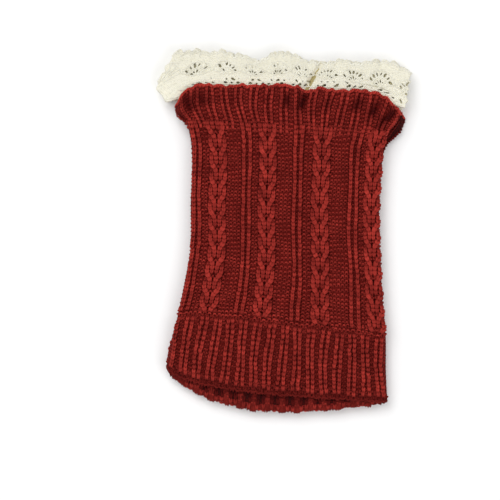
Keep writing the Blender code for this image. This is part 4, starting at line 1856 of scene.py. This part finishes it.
    def threads(self, wrap: Wrap, sweep: YarnSweep, thread: bpy.types.Material) -> bpy.types.Object:
        """Return the raised threads of the fans, and the picots along the top.

        Args:
            wrap: The surface that they lie on.
            sweep: What sweeps paths into thread.
            thread: The thread's material.

        Returns:
            The piece.
        """
        strands = Strands()
        pitch = self.fan.pitch
        chance = np.random.default_rng(23)
        for motif in range(self.form.motifs):
            for path in self.fan.threads():
                dense = self.resampled(path)
                across = (dense[:, 0] + (motif + 0.5) * pitch) / pitch * 2.0 / self.form.motifs
                tenth = self.tenth(wrap, dense[:, 1])
                wave = 0.02 + 0.12 * np.sin(np.arange(len(dense)) * 1.9)
                points = wrap.at(across + self.share_shift, tenth, wave)
                strands.add(points, self.thread_radius, 1.0 + float(chance.normal(0.0, 0.05)))
        step = np.arange(0.0, 2.0, 2.0 / self.form.motifs / self.form.scallops / 12.0)
        turn = step * self.form.motifs * self.form.scallops * math.pi
        for phase in (0.0, 1.0):
            tenth = self.picot_row - 0.35 * phase + 0.12 * np.sin(4.0 * turn + phase)
            points = wrap.at(step, tenth, -0.3 + 0.3 * np.cos(4.0 * turn + phase))
            strands.add(np.concatenate([points, points[:1]]), self.picot_radius, 1.05)
        return sweep.piece(self.name + "_lace_threads", strands, 5, thread)

    @staticmethod
    def resampled(path: np.ndarray) -> np.ndarray:
        """Return a path with a point about every 0.9 millimetres.

        Args:
            path: Its flat points.

        Returns:
            The new points.
        """
        length = np.concatenate([[0.0], np.cumsum(np.linalg.norm(np.diff(path, axis=0), axis=1))])
        count = max(3, int(length[-1] / 0.9) + 1)
        spots = np.linspace(0.0, length[-1], count)
        return np.stack([np.interp(spots, length, path[:, axis]) for axis in (0, 1)], axis=-1)


@dataclass(frozen=True)
class FloorFinish:
    """Matt white board, which shows only the soft shadow of what lies on it."""

    name: str = "matt_white_board"
    colour: str = "f7f7f7"

    def material(self) -> bpy.types.Material:
        """Return the board's material.

        Returns:
            The material.
        """
        material = bpy.data.materials.new(self.name)
        material.use_nodes = True
        shader = material.node_tree.nodes["Principled BSDF"]
        shader.inputs["Base Color"].default_value = linear(self.colour)
        shader.inputs["Roughness"].default_value = 0.95
        shader.inputs["Specular IOR Level"].default_value = 0.1
        return material


@dataclass(frozen=True)
class SoftBox:
    """A square studio light: where it stands, what it points at, its side in metres and its power."""

    name: str
    place: tuple[float, float, float]
    aim: tuple[float, float, float]
    side: float
    power: float

    def build(self) -> None:
        """Hang the light."""
        data = bpy.data.lights.new(self.name, "AREA")
        data.size = self.side
        data.energy = self.power
        light = bpy.data.objects.new(self.name, data)
        light.location = self.place
        light.rotation_euler = aimed(self.place, self.aim)
        bpy.context.scene.collection.objects.link(light)


def aimed(place: tuple[float, float, float], aim: tuple[float, float, float]) -> tuple[float, float, float]:
    """Return the turn that points a light at its aim.

    Args:
        place: Where it stands.
        aim: What it points at.

    Returns:
        Its three angles.
    """
    away = np.array(aim) - np.array(place)
    flat = math.hypot(away[0], away[1])
    return (math.atan2(flat, -away[2]), 0.0, math.atan2(away[1], away[0]) - math.pi / 2.0)


@dataclass(frozen=True)
class Studio:
    """A white floor, soft light from above, and a long lens straight over the pair.

    shown is how much of the pair's plane is seen across the picture, in metres, at the height
    shown_at.
    """

    floor_reach: float = 6.0
    view_x: float = -0.0229
    view_y: float = -0.0129
    camera_height: float = 3.0
    shown: float = 0.337
    shown_at: float = 0.010
    sky: float = 0.62
    boxes: tuple[SoftBox, ...] = (
        SoftBox("key_soft_box", (-0.7, 0.9, 1.7), (0.0, 0.0, 0.0), 1.6, 23.0),
        SoftBox("fill_soft_box", (0.9, -0.7, 1.6), (0.0, 0.0, 0.0), 1.4, 9.5),
    )

    def build(self) -> None:
        """Lay the floor, hang the lights and set the camera."""
        self.lay_floor()
        for box in self.boxes:
            box.build()
        self.hang_sky()
        self.set_camera()
        LOG.info("studio: %d soft boxes, camera %.1f m up", len(self.boxes), self.camera_height)

    def lay_floor(self) -> None:
        """Lay the white board under the pair."""
        mesh = bpy.data.meshes.new("floor")
        far = self.floor_reach
        mesh.from_pydata([(-far, -far, 0), (far, -far, 0), (far, far, 0), (-far, far, 0)], [], [range(4)])
        floor = finished_object("floor", mesh, FloorFinish().material())

    def hang_sky(self) -> None:
        """Light everything softly from all sides."""
        world = bpy.data.worlds.new("soft_white_sky")
        world.use_nodes = True
        world.node_tree.nodes["Background"].inputs["Color"].default_value = (1.0, 1.0, 1.0, 1.0)
        world.node_tree.nodes["Background"].inputs["Strength"].default_value = self.sky
        bpy.context.scene.world = world
        bpy.context.scene.view_settings.view_transform = "Standard"

    def set_camera(self) -> None:
        """Hang the camera over the pair, looking straight down."""
        data = bpy.data.cameras.new("camera")
        data.sensor_width = 36.0
        data.lens = 36.0 * (self.camera_height - self.shown_at) / self.shown
        data.clip_end = 20.0
        camera = bpy.data.objects.new("camera", data)
        camera.location = (self.view_x, self.view_y, self.camera_height)
        bpy.context.scene.collection.objects.link(camera)
        bpy.context.scene.camera = camera


def main() -> None:
    """Load the solids, dress both warmers and light them."""
    logging.basicConfig(level=logging.INFO, format="%(name)s: %(message)s")
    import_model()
    sweep = YarnSweep()
    knit = KnitLooks(*(look.material() for look in (WOOL_YARN, WOOL_CLOTH, WOOL_PAINTED_SHADE, WOOL_PAINTED_SHADOW)))
    lace = LaceLooks(*(look.material() for look in (COTTON_THREAD, COTTON_CLOTH, COTTON_PAINTED_SHADE, COTTON_PAINTED_FOLD_SHADE)))
    lower = TubeForm(LOWER_SECTIONS, Levels(0.0, 2.0, 2.5, 4.5), Levels(0.0, 2.0, 4.9, 6.9), 0.0, ())
    upper = TubeForm(
        UPPER_SECTIONS,
        Levels(5.95, 7.95, 8.45, 10.45),
        Levels(8.35, 10.35, 13.25, 15.25),
        11.5,
        RIM_DIPS + SIDE_DIPS,
    )
    KnittedTube("lower", lower, False, 0.0).build(sweep, knit)
    KnittedTube("upper", upper, True, 1.0, rests_on=("lower_knit_tube",)).build(sweep, knit)
    for name, form, cells, raised, below in (
        ("lower", LaceForm(lower, 0.1, 0.0), (16, 20), False, ()),
        ("upper", LaceForm(upper, 0.7, 3.0), (32, 40), True, ("lower_lace_band",)),
    ):
        LaceBand(name, form, Fan(), *cells, raised, rests_on=below).build(sweep, lace)
    Studio().build()


if __name__ == "__main__":
    main()
